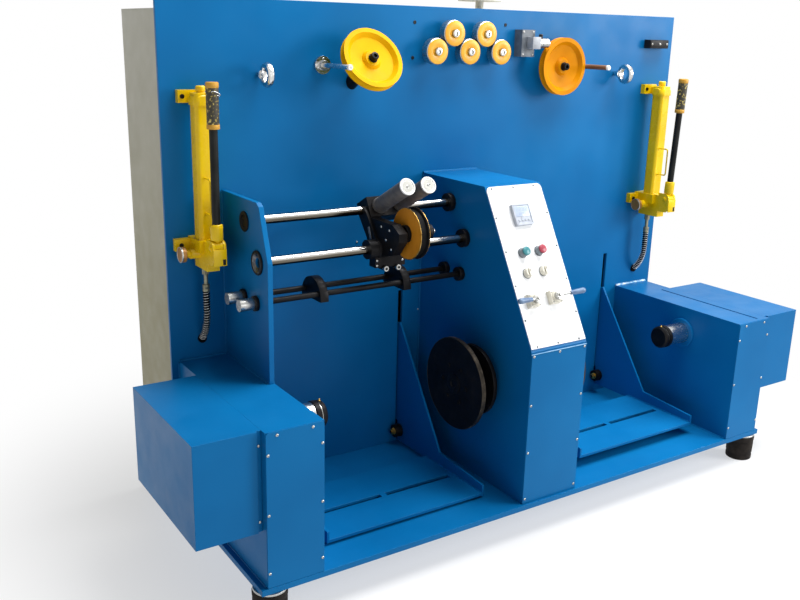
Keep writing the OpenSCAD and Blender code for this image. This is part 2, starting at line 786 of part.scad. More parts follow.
// The nose turns on the sleeve's spigot
module pintle_nose() translate([0, 0, sleeve_out]) rotate_extrude() {
    bore = spigot_d / 2 + run;
    r = nose_d / 2;
    polygon([[bore, 1], [r - 2, 1], [r, 3], [r, nose_ring], [r - 4, nose_ring], [r - 4, nose_ring + 4],
        [r - 1, nose_ring + 4], [r - 1, nose_l - 6], [r - 7, nose_l], [0, nose_l], [0, spigot_l + 1],
        [bore, spigot_l + 1]]);
}

module left_pintle() along_x(-column_in, -spool_y, spool_z) children();

module right_pintle() along_x(column_in, -spool_y, spool_z) mirror([0, 0, 1]) children();

module left_pintle_sleeve() color(steel) left_pintle() pintle_sleeve();

module left_pintle_nose() color(black) left_pintle() pintle_nose();

module right_pintle_sleeve() color(steel) right_pintle() pintle_sleeve();

module right_pintle_nose() color(black) right_pintle() pintle_nose();

// Lifting tables: each gusset's tongue passes through the panel to a crosshead behind it

module gusset(x, z, top) side_profile(x - gusset_t / 2, gusset_t) {
    polygon([[-table_front_d, z - table_t], [-table_front_d, z + toe_h], [-knee_d, z + knee_h],
        [-clear, top], [-clear, z - table_t]]);
    translate([-clear - eps, z + tongue_rise + clear])
        square([panel_t + clear + slide_gap + 2, top - z - tongue_rise - 2 * clear]);
}

module lifting_table(gussets, z, top) color(blue) {
    pitch = gussets[1] - gussets[0];
    w = pitch + gusset_t;
    slot_l = (pitch - 2 * slot_end - slot_bridge) / 2;
    for (x = gussets) gusset(x, z, top);
    at_panel() difference() {
        translate([gussets[0] - gusset_t / 2, -table_front_d, z - table_t])
            cube([w, table_front_d - table_back_d, table_t]);
        for (x = [gussets[0] + slot_end, gussets[1] - slot_end - slot_l])
            translate([x, -table_slot_d - table_slot_w / 2, z - table_t - 1])
                cube([slot_l, table_slot_w, table_t + 2]);
    }
    at_panel() translate([gussets[0] - gusset_t / 2 - 10, panel_t + slide_gap, z + 150]) cube([w + 20, 12, 140]);
}

module left_table() lifting_table(left_gussets, left_table_z, left_gusset_top);

module right_table() lifting_table(right_gussets, right_table_z, right_gusset_top);

// A black roller on the inner side of each gusset runs along the panel's face
module table_roller(x, side, z) at_panel()
    translate([x + side * gusset_t / 2, -table_roller_d / 2 - panel_run, z + table_roller_rise])
        rotate([0, side * 90, 0]) {
            cylinder(d = table_roller_d / 2, h = 3);
            translate([0, 0, 3 - eps]) cylinder(d = table_roller_d, h = table_roller_w);
            translate([0, 0, 3 + table_roller_w - 2 * eps]) cylinder(d = table_roller_d / 2, h = 9, $fn = 6);
            cylinder(d = table_roller_d / 4, h = table_roller_w + 17);
        }

module table_rollers(gussets, z) color(black) {
    table_roller(gussets[0], 1, z);
    table_roller(gussets[1], -1, z);
}

module left_table_rollers() table_rollers(left_gussets, left_table_z);

module right_table_rollers() table_rollers(right_gussets, right_table_z);

// Wire path on the panel

module straightener(i) color(yellow)
    out_of_panel(straighteners[i][0], panel_h - row_drop + straighteners[i][1], straightener_gap)
        rotate_extrude() polygon([[10 + run, 0], [straightener_d / 2 - 3, 0], [straightener_d / 2, 3],
            [straightener_d / 2, straightener_w - 3], [straightener_d / 2 - 3, straightener_w],
            [straightener_d / 2 - 8, straightener_w], [straightener_d / 2 - 10, straightener_w - 4],
            [10 + run, straightener_w - 4]]);

module straightener_1() straightener(0);

module straightener_2() straightener(1);

module straightener_3() straightener(2);

module straightener_4() straightener(3);

module straightener_5() straightener(4);

// A dished sheave with a wire groove, from its back face
module sheave() rotate_extrude() {
    r = sheave_d / 2;
    bore = stud_d / 2 + run;
    polygon([[bore, 0], [30, 0], [r - 26, 8], [r - 14, 0], [r, 0], [r, 3], [r - 9, sheave_w / 2], [r, sheave_w - 3],
        [r, sheave_w], [r - 14, sheave_w], [r - 26, 14], [32, 10], [24, 20], [bore, 20]]);
}

module left_sheave() color(yellow)
    tilted(-sheave_x, -left_sheave_y, panel_h - left_sheave_drop, sheave_tilt)
        translate([0, 0, -sheave_w / 2]) sheave();

module right_sheave() color(orange)
    out_of_panel(sheave_x, panel_h - right_sheave_drop, right_sheave_gap) sheave();

module roller_axles() color([0.25, 0.25, 0.27]) {
    for (p = straighteners) out_of_panel(p[0], panel_h - row_drop + p[1]) {
        cylinder(d = 34, h = straightener_gap - 1);
        cylinder(d = 20, h = straightener_gap + straightener_w - 2);
    }
    out_of_panel(sheave_x, panel_h - right_sheave_drop) {
        cylinder(d = 44, h = right_sheave_gap - 1);
        cylinder(d = stud_d, h = right_sheave_gap + 24);
    }
    difference() {
        tilted(-sheave_x, -left_sheave_y, panel_h - left_sheave_drop, sheave_tilt) {
            translate([0, 0, -160]) cylinder(d = 44, h = 160 - sheave_w / 2 - 1);
            translate([0, 0, -160]) cylinder(d = stud_d, h = 160 + 11);
        }
        at_panel() translate([-sheave_x - 100, 0, panel_h - left_sheave_drop - 200]) cube([200, 200, 400]);
    }
}

// A ring with rounded-off rims
module eye_ring() rotate_extrude() polygon([[eye_hole_d / 4, 0], [eye_d / 2 - eye_w / 4, 0], [eye_d / 2, eye_w / 4],
    [eye_d / 2, eye_w * 3 / 4], [eye_d / 2 - eye_w / 4, eye_w], [eye_hole_d / 4, eye_w]]);

module wire_guides() color(steel) for (sx = [-1, 1]) {
    out_of_panel(sx * post_x, panel_h - post_drop) {
        cylinder(d = post_flange_d, h = post_flange_d / 5);
        cylinder(d = post_d, h = post_l);
    }
    difference() {
        union() {
            along_x(sx * eye_x - eye_w / 2, -eye_y, panel_h - eye_drop) eye_ring();
            out_of_panel(sx * eye_x, panel_h - eye_drop)
                cylinder(d1 = post_d, d2 = eye_stem_d, h = eye_y - eye_hole_d / 2 - 3);
        }
        along_x(sx * eye_x - eye_w, -eye_y, panel_h - eye_drop) cylinder(d = eye_hole_d, h = 2 * eye_w);
    }
}

module length_encoder() color([0.25, 0.27, 0.29]) at_panel() translate([268, 0, panel_h - 110]) {
    translate([-29, -40, -45]) cube([58, 40, 91]);
    translate([-6, -72, -18]) cube([36, 32 + eps, 40]);
    translate([30 - eps, -56, 2]) rotate([0, 90, 0]) cylinder(d = 32, h = 44);
    translate([42, -56, 14]) cylinder(d = 14, h = 18);
}

module switch_box() color(black) at_panel() translate([panel_w / 2 - 157, -30, panel_h - 119]) cube([103, 30, 32]);

// Hand pumps, drawn with the tank's axis at local X 0

// A square with rounded corners, about its middle
module rounded_square(side, r) {
    square([side, side - 2 * r], center = true);
    square([side - 2 * r, side], center = true);
    for (x = [-1, 1], y = [-1, 1]) translate([x * (side / 2 - r), y * (side / 2 - r)]) circle(r);
}

module pump_body() difference() {
    union() {
        at_panel() translate([0, -tank_y, block_top - eps]) linear_extrude(tank_l)
            rounded_square(tank_s, tank_corner_r);
        at_panel() translate([0, -tank_y, tank_top - head_h]) pump_head();
        at_panel() translate([-52, -20, tank_top - head_h + 4]) cube([52 + tank_s / 4, 20, 36]);
        at_panel() translate([-tank_s / 4, -tank_y, tank_top - head_h + 4]) cube([tank_s / 2, tank_y, head_h - 8]);
        at_panel() translate([-block_w / 2, -block_d + 20, block_top - block_shelf])
            cube([block_w, block_d - 20, block_shelf]);
        at_panel() translate([-block_foot_w / 2, -block_d, block_top - block_h])
            cube([block_foot_w, block_d - 18, block_h]);
        at_panel() translate([-78, -20, block_top - 41]) cube([60, 20, 36]);
        along_x(-release_boss_x, -outlet_y, block_top - release_drop) cylinder(d = 30, h = release_boss_x);
        for (x = [-fork_w / 2, fork_w / 2 - cheek_t]) side_profile(x, cheek_t) pump_cheek();
        at_panel() translate([-fork_w / 2 + eps, -pivot_y - cheek_r + 2, fork_bottom + 6])
            cube([fork_w - 2 * eps, pivot_y + cheek_r - 2 - block_d + eps, pivot_z - cheek_r - clear + 1 - fork_bottom - 6]);
        along_x(-fork_w / 2 - 2, -pivot_y, pivot_z) cylinder(d = pivot_d, h = fork_w + 4);
    }
    along_x(-release_x, -outlet_y, block_top - release_drop) cylinder(d = 12 + 2 * run, h = release_x - 15);
    for (p = [[-40, tank_top - 12], [-60, block_top - 23]]) out_of_panel(p[0], p[1], -1) cylinder(d = 11, h = 30);
}

// The tank's domed head with its filler cap
module pump_head() {
    side = tank_s + 2 * head_edge;
    intersection() {
        linear_extrude(head_h + 1) rounded_square(side, tank_corner_r + head_edge);
        rotate_extrude() polygon([[0, 0], [side, 0], [side, head_h / 2], [side * 0.6, head_h / 2], [side * 0.52, head_h * 0.75],
            [side * 0.38, head_h * 0.94], [side * 0.28, head_h + 1], [0, head_h + 1]]);
    }
    rotate_extrude() polygon([[0, head_h], [filler_d / 2 - 2, head_h], [filler_d / 2 - 2, head_h + 4], [filler_d / 2, head_h + 5],
        [filler_d / 2, head_h + filler_h - 3], [filler_d / 2 - 3, head_h + filler_h], [0, head_h + filler_h]]);
}

// One side of the fork that carries the lever's pivot pin
module pump_cheek() {
    translate([-pivot_y, pivot_z]) circle(cheek_r);
    translate([-pivot_y - cheek_r, fork_bottom + 14]) square([cheek_r, pivot_z - fork_bottom - 14]);
    translate([-pivot_y, fork_bottom]) square([pivot_y - block_d + eps, pivot_z + cheek_r - fork_bottom]);
    polygon([[-pivot_y - cheek_r, fork_bottom + 14 + eps], [-pivot_y + eps, fork_bottom + 14 + eps],
        [-pivot_y + eps, fork_bottom], [-pivot_y - 8, fork_bottom]]);
}

module pump_bodies() color(yellow) for (sx = [-1, 1]) translate([sx * pump_x, 0, 0]) pump_body();

// The lever's hub turns on the pin, and its socket stands clear of the fork
module pump_lever(tilt) at_panel() translate([0, -pivot_y, pivot_z]) rotate([tilt, 0, 0]) {
    hub_l = fork_w - 2 * cheek_t - 2;
    socket_z = cheek_r + 2;
    rotate([0, 90, 0]) translate([0, 0, -hub_l / 2]) tube(2 * hub_r, pivot_d + 2 * run, hub_l);
    translate([0, 0, pivot_d]) cylinder(d = hub_l - 2, h = socket_z - pivot_d + 1);
    translate([0, 0, socket_z]) cylinder(d = socket_d, h = socket_l);
    translate([0, 0, socket_z + socket_l - eps]) cylinder(d = lever_d, h = lever_l);
    translate([0, 0, socket_z + socket_l + lever_l - 2 * eps]) cylinder(d = grip_d, h = grip_l);
}

module left_pump_lever() color(black) translate([-pump_x, 0, 0]) pump_lever(0);

module right_pump_lever() color(black) translate([pump_x, 0, 0]) pump_lever(right_lever_tilt);

module release_knob() along_x(-release_x, -outlet_y, block_top - release_drop) {
    cylinder(d = release_d, h = 14);
    cylinder(d = 12, h = release_x - 17);
}

module left_release_knob() color("peru") translate([-pump_x, 0, 0]) release_knob();

module right_release_knob() color("peru") translate([pump_x, 0, 0]) release_knob();

module hose_fittings() color(steel) for (sx = [-1, 1]) at_panel() translate([sx * pump_x, 0, 0]) {
    translate([0, -outlet_y, hose_top]) cylinder(d = hose_d + 3, h = fitting_l * 0.56);
    translate([0, -outlet_y, hose_top + 1]) cylinder(d = hose_d - 3, h = fitting_l - 2);
    translate([0, -outlet_y, block_top - block_h - fitting_l * 0.18]) cylinder(d = hose_d + 6, h = fitting_l * 0.18, $fn = 6);
}

// Each hose hangs straight, then bends back into a grommet in the panel
module pump_hoses() color(black) for (sx = [-1, 1]) at_panel() translate([sx * pump_x, 0, 0]) {
    translate([0, -outlet_y, hose_knee - eps]) cylinder(d = hose_d, h = hose_top - hose_knee + eps);
    difference() {
        translate([0, -outlet_y + hose_r, hose_knee]) rotate([0, -90, 0]) rotate([0, 0, 262 - hose_turn])
            rotate_extrude(angle = hose_turn + 8) translate([hose_r, 0]) circle(d = hose_d);
        translate([-hose_r, 0, hose_end - hose_r]) cube(2 * hose_r);
    }
    translate([0, 0, hose_end]) rotate([90, 0, 0]) cylinder(d = grommet_d, h = 6);
}

module top_fitting() color(cream) at_panel() translate([130, 70, roof_h]) {
    cylinder(d = 28, h = 62);
    translate([0, 0, 62 - eps]) cylinder(d = 150, h = 8);
}

base_plate();
rubber_feet();
back_panel();
cabinet_sides();
cabinet_roof();
rear_covers();
console_housing();
control_panel();
front_covers();
panel_meter();
control_bezels();
valve_bodies();
side_columns();
side_wings();
bracket_plate();
guide_bars();
bar_flanges();
trip_rods();
rod_knobs();
trip_dogs();
wire_guides();
roller_axles();
length_encoder();
switch_box();
pump_bodies();
pump_hoses();
hose_fittings();
top_fitting();
left_drive_flange();
right_drive_flange();
left_pintle_sleeve();
left_pintle_nose();
right_pintle_sleeve();
right_pintle_nose();
left_table();
left_table_rollers();
right_table();
right_table_rollers();
carriage_body();
carriage_pulley();
left_guide_roller();
right_guide_roller();
left_sheave();
right_sheave();
straightener_1();
straightener_2();
straightener_3();
straightener_4();
straightener_5();
left_pump_lever();
right_pump_lever();
left_release_knob();
right_release_knob();
left_valve_lever();
right_valve_lever();
start_button();
stop_button();
left_selector();
right_selector();
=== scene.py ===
# %% [markdown]
# # A wire rewinding machine, dressed in Blender
#
# This machine is a blue steel frame that winds wire from one spool to another. Its solids were drawn in CAD
# and are loaded as a fixed frame, in metres, with every place in the meshes. This lesson keeps those
# solids, gives each one a painted, turned or moulded finish, and adds the small things that CAD leaves out,
# such as screws, weld beads, grips and the spring guards on the hoses.

# %% Load the frame
import json
from math import acos, atan2, cos, pi, radians, sin

import bmesh
import bpy
from mathutils import Matrix, Vector


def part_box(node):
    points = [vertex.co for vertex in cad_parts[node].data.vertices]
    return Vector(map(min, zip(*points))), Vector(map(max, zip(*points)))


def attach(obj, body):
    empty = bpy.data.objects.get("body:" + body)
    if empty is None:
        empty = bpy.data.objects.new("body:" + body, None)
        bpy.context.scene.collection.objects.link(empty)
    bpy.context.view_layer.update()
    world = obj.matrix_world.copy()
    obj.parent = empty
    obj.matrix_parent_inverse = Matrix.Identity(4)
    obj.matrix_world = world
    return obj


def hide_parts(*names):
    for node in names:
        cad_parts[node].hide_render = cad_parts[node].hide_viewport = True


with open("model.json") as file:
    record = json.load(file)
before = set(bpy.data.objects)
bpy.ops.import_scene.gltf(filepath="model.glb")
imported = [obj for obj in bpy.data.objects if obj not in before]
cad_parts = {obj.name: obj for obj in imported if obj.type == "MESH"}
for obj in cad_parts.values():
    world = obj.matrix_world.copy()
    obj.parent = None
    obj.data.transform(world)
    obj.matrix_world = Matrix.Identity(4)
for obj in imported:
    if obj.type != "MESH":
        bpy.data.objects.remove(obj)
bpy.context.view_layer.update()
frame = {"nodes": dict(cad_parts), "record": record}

# %% [markdown]
# ## One way to name a place
#
# Everything is measured from two faces, the front of the upright panel and the top of the base plate. The
# functions below take millimetres from those faces, so that a piece can be placed with the numbers a fitter
# would read off a drawing.

# %% Places on the machine
PANEL_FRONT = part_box("back_panel")[0][1]
DECK_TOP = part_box("base_plate")[1][2]
MM = 0.001
LEFT = (-1, 0, 0)
RIGHT = (1, 0, 0)
FRONT = (0, -1, 0)
BACK = (0, 1, 0)
UP = (0, 0, 1)


def at(x, y, z):
    """A point from the machine's middle, the panel's front face and the base plate's top, in millimetres."""
    return Vector((x * MM, PANEL_FRONT + y * MM, DECK_TOP + z * MM))


def put(x, y, z):
    """The matrix that moves a shape to such a point."""
    return Matrix.Translation(at(x, y, z))


def facing(point, direction):
    """The matrix that turns local Z along a direction and moves it to a point."""
    return Matrix.Translation(point) @ Vector(direction).to_track_quat("Z", "Y").to_matrix().to_4x4()


def shown(name, data):
    """Puts a camera, a lamp, a mesh or a curve into the scene."""
    thing = bpy.data.objects.new(name, data)
    bpy.context.collection.objects.link(thing)
    return thing


print("panel front at y", round(PANEL_FRONT, 4), "and base plate top at z", round(DECK_TOP, 4))

# %% [markdown]
# ## The camera
#
# The photograph was taken from the left, standing, looking down on the base plate. The camera was found by
# matching known corners of the machine to the photograph. Yaw turns it to the right, pitch tilts it down,
# and roll leans the picture a little.

# %% Set the camera
EYE = (-1.9294, -2.4481, 1.5487)
YAW = radians(33.481)
PITCH = radians(16.078)
ROLL = radians(1.381)
FOCAL_PIXELS = 917.83
PICTURE_WIDTH = 800
SENSOR_WIDTH = 36.0

lens = bpy.data.cameras.new("photo_camera")
lens.sensor_width = SENSOR_WIDTH
lens.lens = FOCAL_PIXELS / PICTURE_WIDTH * SENSOR_WIDTH
camera = shown("photo_camera", lens)
turn = Matrix.Rotation(-YAW, 4, "Z") @ Matrix.Rotation(pi / 2 - PITCH, 4, "X") @ Matrix.Rotation(ROLL, 4, "Z")
camera.matrix_world = Matrix.Translation(EYE) @ turn
bpy.context.scene.camera = camera
print("lens", round(lens.lens, 2), "mm")

# %% [markdown]
# ## Floor, backdrop and light
#
# The machine stands on a pale floor that catches its shadow and fades to the white of the background, so
# that no horizon shows. That white is seen only by the camera and in shiny surfaces; the light on the
# machine comes from a softer sky and three broad lamps, the strongest above and to the right, because the
# photograph has bright tops and dark left faces. Two functions add a shader node and feed its inputs, with
# a number or with what another node gives out.

# %% Shader nodes


def feed(node, inputs):
    """Gives inputs of a shader node a value, or the output of another node."""
    for name, value in inputs.items():
        if isinstance(value, bpy.types.NodeSocket):
            node.id_data.links.new(value, node.inputs[name])
        else:
            node.inputs[name].default_value = value


def add_node(tree, kind, inputs, **settings):
    """Adds a shader node with its settings and inputs."""
    node = tree.nodes.new("ShaderNode" + kind)
    for name, value in settings.items():
        setattr(node, name, value)
    feed(node, inputs)
    return node


print("nodes can be added and fed")

# %% Pale floor
FLOOR_SIZE = 60.0
FLOOR_GREY = (0.86, 0.86, 0.86, 1)
FLOOR_ROUGH = 0.9
FLOOR_NEAR = 1.1
FLOOR_FAR = 2.0
FLOOR_GLOW = 0.55

ground = bmesh.new()
bmesh.ops.create_grid(ground, x_segments=4, y_segments=4, size=FLOOR_SIZE)
floor_mesh = bpy.data.meshes.new("pale_floor")
ground.to_mesh(floor_mesh)
ground.free()
floor = shown("pale_floor", floor_mesh)

floor_paint = bpy.data.materials.new("pale_floor")
floor_paint.use_nodes = True
tree = floor_paint.node_tree
shader = tree.nodes["Principled BSDF"]
feed(shader, {"Base Color": FLOOR_GREY, "Roughness": FLOOR_ROUGH})
where = add_node(tree, "TexCoord", {}).outputs["Object"]
reach = add_node(tree, "VectorMath", {0: where}, operation="LENGTH").outputs["Value"]
limits = {"Value": reach, "From Min": FLOOR_NEAR, "From Max": FLOOR_FAR, "To Min": FLOOR_GLOW}
fade = add_node(tree, "MapRange", limits, interpolation_type="SMOOTHSTEP").outputs["Result"]
glow = add_node(tree, "Emission", {}).outputs["Emission"]
blend = add_node(tree, "MixShader", {"Fac": fade, 1: shader.outputs["BSDF"], 2: glow})
feed(tree.nodes["Material Output"], {"Surface": blend.outputs["Shader"]})
floor_mesh.materials.append(floor_paint)
print("floor fades to white from", FLOOR_NEAR, "to", FLOOR_FAR, "m")

# %% White background and a softer sky
SKY_COLOUR = (0.93, 0.97, 1.0, 1)
SKY_LEVEL = 0.2
WHITE = (1, 1, 1, 1)

world = bpy.data.worlds.new("studio")
bpy.context.scene.world = world
world.use_nodes = True
tree = world.node_tree
sky = tree.nodes["Background"]
feed(sky, {"Color": SKY_COLOUR, "Strength": SKY_LEVEL})
backdrop = add_node(tree, "Background", {"Color": WHITE, "Strength": 1.0})
ray = add_node(tree, "LightPath", {}).outputs
seen = add_node(tree, "Math", {0: ray["Is Camera Ray"], 1: ray["Is Glossy Ray"]}, operation="MAXIMUM")
through = {0: seen.outputs["Value"], 1: ray["Is Transmission Ray"]}
choice = add_node(tree, "Math", through, operation="MAXIMUM").outputs["Value"]
skies = {"Fac": choice, 1: sky.outputs["Background"], 2: backdrop.outputs["Background"]}
feed(tree.nodes["World Output"], {"Surface": add_node(tree, "MixShader", skies).outputs["Shader"]})
bpy.context.scene.view_settings.view_transform = "Standard"
print("sky level", SKY_LEVEL)

# %% Three broad lamps, each with its place, aim, size and power
LAMPS = {
    "top_lamp": ((1.0, -0.5, 4.4), (0.1, -0.2, 0.6), 2.6, 265),
    "right_lamp": ((3.8, -3.1, 2.3), (0.5, -0.2, 0.7), 1.8, 165),
    "front_lamp": ((-0.6, -5.4, 1.5), (0.0, 0.0, 0.7), 2.6, 30),
}
for name, (place, aim, size, power) in LAMPS.items():
    light = bpy.data.lights.new(name, "AREA")
    light.size = size
    light.energy = power
    lamp = shown(name, light)
    lamp.location = place
    lamp.rotation_euler = (Vector(aim) - Vector(place)).to_track_quat("-Z", "Y").to_euler()
print("lamps", list(LAMPS))

# %% [markdown]
# ## Colours and the parts of a finish
#
# Paint charts give colours the way a screen shows them, and a shader wants linear light, so a small
# function translates. Every finish is made of the same steps: a cloud of noise at a real size, a ramp that
# turns it into colour, a range that turns it into roughness, and a bump. All read Object coordinates, which
# stay on a piece when it moves.

# %% From chart colour to linear light


def chart(red, green, blue):
    """A colour from 0 to 255 as a screen shows it, in the linear light that a shader wants."""
    linear = []
    for value in (red / 255, green / 255, blue / 255):
        linear.append(value / 12.92 if value <= 0.04045 else ((value + 0.055) / 1.055) ** 2.4)
    return (*linear, 1.0)


print("a mid grey of 128 is", round(chart(128, 128, 128)[0], 3), "in linear light")

# %% The steps of a finish


class Finish:
    """A material under construction: its shader, its place on the object, and the steps that build it."""

    def __init__(self, name, metal=0.0, shine=0.35):
        self.material = bpy.data.materials.new(name)
        self.material.use_nodes = True
        self.tree = self.material.node_tree
        self.shader = self.tree.nodes["Principled BSDF"]
        feed(self.shader, {"Metallic": metal, "Specular IOR Level": shine})
        self.where = add_node(self.tree, "TexCoord", {}).outputs["Object"]

    def height(self, vector):
        """The Z of a place or a direction."""
        return add_node(self.tree, "SeparateXYZ", {"Vector": vector}).outputs["Z"]

    def cloud(self, size, detail, stretch=(1, 1, 1)):
        """Noise whose blotches are about that many metres across, before they are stretched."""
        place = add_node(self.tree, "Mapping", {"Vector": self.where, "Scale": stretch}).outputs["Vector"]
        noise = {"Vector": place, "Scale": 1 / size, "Detail": detail}
        return add_node(self.tree, "TexNoise", noise).outputs["Fac"]

    def ramp(self, amount, colours, places=(0.3, 0.7)):
        """A ramp of chart colours at places from 0 to 1."""
        ramp = add_node(self.tree, "ValToRGB", {"Fac": amount})
        bar = ramp.color_ramp.elements
        while len(bar) < len(places):
            bar.new(0.5)
        for element, place, colour in zip(bar, places, colours):
            element.position = place
            element.color = chart(*colour)
        return ramp.outputs["Color"]

    def span(self, amount, low, high, start=0.3, end=0.7):
        """The amount from start to end, spread over low to high."""
        limits = {"Value": amount, "From Min": start, "From Max": end, "To Min": low, "To Max": high}
        return add_node(self.tree, "MapRange", limits).outputs["Result"]

    def mix(self, amount, first, second, way="MIX"):
        """Two colours mixed by an amount from 0 to 1."""
        colours = {"Factor": amount, "A": first, "B": second}
        return add_node(self.tree, "Mix", colours, data_type="RGBA", blend_type=way).outputs["Result"]

    def build(self, colour, sheen, grain=None):
        """Links colour, sheen (low and high roughness, cloud) and grain (depth, strength, cloud)."""
        low, high, *cloud = sheen
        feed(self.shader, {"Base Color": colour, "Roughness": self.span(self.cloud(*cloud), low, high)})
        if grain:
            depth, strength, *cloud = grain
            bump = {"Strength": strength, "Distance": depth, "Height": self.cloud(*cloud)}
            feed(self.shader, {"Normal": add_node(self.tree, "Bump", bump).outputs["Normal"]})
        return self.material


def coat(name, colours, blotch, sheen, grain=None, metal=0.0, shine=0.35, places=(0.3, 0.7)):
    """A finish whose colours follow one cloud, the blotch, with a sheen and a grain."""
    look = Finish(name, metal, shine)
    return look.build(look.ramp(look.cloud(*blotch), colours, places), sheen, grain)


finishes = {}
print("steps of a finish are ready")

# %% [markdown]
# ## Painted steel
#
# Sprayed enamel is not one flat colour: its tone drifts over a hand's width, dust dulls it here and there,
# and close up it has the dimples that painters call orange peel. Three clouds of noise at those three sizes
# make all of it. Frame, cabinet, control panel, pumps and sheaves each have their own colours and grain.

# %% Blue and white enamel
BLUE_TONES = [(4, 94, 150), (8, 103, 161), (14, 112, 171)]
finishes["blue_paint"] = coat(
    "blue_enamel", BLUE_TONES, (0.45, 3.0), (0.28, 0.42, 0.09, 4.0), (0.00012, 0.6, 0.0035, 1.0),
    shine=0.1, places=(0.3, 0.55, 0.8))
finishes["white_paint"] = coat(
    "white_panel_paint", [(226, 228, 230), (240, 241, 242)], (0.12, 4.0), (0.32, 0.48, 0.03, 3.0),
    (0.00008, 0.6, 0.002, 1.0))
print("finishes", list(finishes))

# %% Grey cabinet paint, darker below and lighter above
DARKENING_TOP = 1.6
DARKENING_BOTTOM = 0.7
# The paint is darker towards the bottom and lighter towards the top, blended by height alone.
grey = Finish("grey_cabinet_paint")
drift = grey.cloud(0.5, 3.0)
lighter_share = grey.span(grey.height(grey.where), 0.0, 1.0, DARKENING_BOTTOM, DARKENING_TOP)
darker_tones = grey.ramp(drift, [(144, 138, 108), (156, 151, 122)])
lighter_share_tones = grey.ramp(drift, [(176, 174, 160), (190, 188, 176)])
finishes["grey_paint"] = grey.build(
    grey.mix(lighter_share, darker_tones, lighter_share_tones), (0.42, 0.6, 0.05, 3.0), (0.0002, 0.7, 0.0022, 2.0))
print("the cabinet darkens below z", DARKENING_TOP)

# %% Yellow pumps, orange and amber sheaves
YELLOW_TONES = [(222, 180, 0), (234, 194, 2), (242, 206, 6)]
ORANGE_TONES = [(198, 122, 0), (214, 138, 2), (226, 152, 6)]
SHEAVE_SHEEN = (0.34, 0.5, 0.03, 3.0)
SHEAVE_GRAIN = (0.00012, 0.4, 0.004, 2.0)
finishes["yellow_paint"] = coat(
    "yellow_pump_enamel", YELLOW_TONES, (0.16, 3.0), (0.2, 0.36, 0.04, 3.0), (0.0002, 0.3, 0.006, 3.0),
    shine=0.3, places=(0.25, 0.55, 0.8))
finishes["orange_paint"] = coat(
    "orange_sheave_enamel", ORANGE_TONES, (0.12, 2.0), SHEAVE_SHEEN, SHEAVE_GRAIN,
    shine=0.05, places=(0.3, 0.6, 0.85))
finishes["amber_paint"] = coat(
    "amber_sheave_enamel", [(214, 158, 0), (230, 176, 4)], (0.1, 2.0), SHEAVE_SHEEN, SHEAVE_GRAIN, shine=0.05)
print("painted finishes", list(finishes))

# %% [markdown]
# ## Bare metal
#
# Turned steel has fine rings, ground bars have streaks along their length, and blacked steel is dull with
# brown where handling has worn it. Streaks are noise stretched hard along one axis. Metal shows its
# surroundings more than a colour of its own, so the roughness does most of the work.

# %% Bright, polished and dark steel
finishes["bright_steel"] = coat(
    "bright_steel", [(160, 160, 156), (198, 198, 195)], (0.02, 4.0, (9, 1, 9)),
    (0.22, 0.4, 0.012, 3.0, (8, 1, 8)), (0.00006, 0.5, 0.004, 2.0, (10, 1, 10)), metal=1.0)
finishes["polished_steel"] = coat(
    "polished_steel", [(196, 196, 194), (226, 226, 225)], (0.03, 3.0, (1, 4, 4)),
    (0.14, 0.3, 0.012, 3.0, (1, 6, 6)), metal=1.0)
finishes["dark_steel"] = coat(
    "dark_bore", [(64, 66, 70), (120, 124, 130)], (0.02, 3.0), (0.22, 0.42, 0.012, 3.0), metal=1.0)
print("steel finishes are ready")

# %% Blacked steel and the copper-brown knob
BLACK_TONES = [(14, 14, 16), (25, 24, 25), (50, 43, 37)]
finishes["black_steel"] = coat(
    "blacked_steel", BLACK_TONES, (0.05, 5.0), (0.32, 0.55, 0.018, 3.0), (0.00008, 0.6, 0.003, 2.0),
    metal=0.4, shine=0.15, places=(0.3, 0.6, 0.85))
finishes["bronze_knob"] = coat(
    "copper_knob", [(146, 102, 48), (178, 128, 66)], (0.02, 4.0), (0.28, 0.45, 0.008, 3.0),
    (0.00005, 0.5, 0.002, 2.0), metal=0.3)
print("finishes so far", list(finishes))

# %% [markdown]
# The guide bars are chromed. Their colour carries a painted reflection and painted shade: the height of the
# surface normal tells top from underside, so a ramp over it paints them nearly black below, beige at the
# sides and bright above.

# %% Chromed bars
REFLECTION_TONES = [(26, 24, 22), (50, 46, 42), (98, 92, 82), (132, 126, 116)]
REFLECTION_TONES += [(224, 221, 215), (242, 241, 239), (176, 175, 174)]
REFLECTION_PLACES = (0.0, 0.2, 0.34, 0.56, 0.68, 0.88, 1.0)
STREAK_SHARE = 0.6
chrome = Finish("chromed_bar", metal=1.0)
streak = chrome.cloud(0.02, 3.0, (0.12, 1, 1))
streak_tones = chrome.ramp(streak, [(186, 184, 178), (250, 249, 247)], (0.35, 0.65))
normal = add_node(chrome.tree, "NewGeometry", {}).outputs["Normal"]
# painted reflection and shade by the normal's height: dark below, bright above
painted_reflection = chrome.ramp(chrome.span(chrome.height(normal), 0.0, 1.0, -1.0, 1.0), REFLECTION_TONES, REFLECTION_PLACES)
finishes["chrome_bar"] = chrome.build(
    chrome.mix(STREAK_SHARE, painted_reflection, streak_tones, "MULTIPLY"), (0.08, 0.2, 0.01, 3.0, (0.06, 1, 1)),
    (0.00003, 0.5, 0.004, 2.0, (0.03, 1, 1)))
print("the painted reflection has", len(REFLECTION_TONES), "tones")

# %% [markdown]
# ## Plastics and rubber
#
# Moulded plastic has a fine spark-eroded grain and a soft sheen. Rubber is duller and never quite black.
# The same three clouds do it, with smaller sizes and higher roughness.

# %% Moulded plastics


def moulded(name, dark, light, low, high, grain=0.0012, shine=0.35):
    """A moulded plastic between two tones and two roughnesses, with a fine grain."""
    sheen = (low, high, 0.008, 3.0)
    return coat(name, [dark, light], (0.02, 3.0), sheen, (0.00006, 0.6, grain, 2.0), shine=shine)


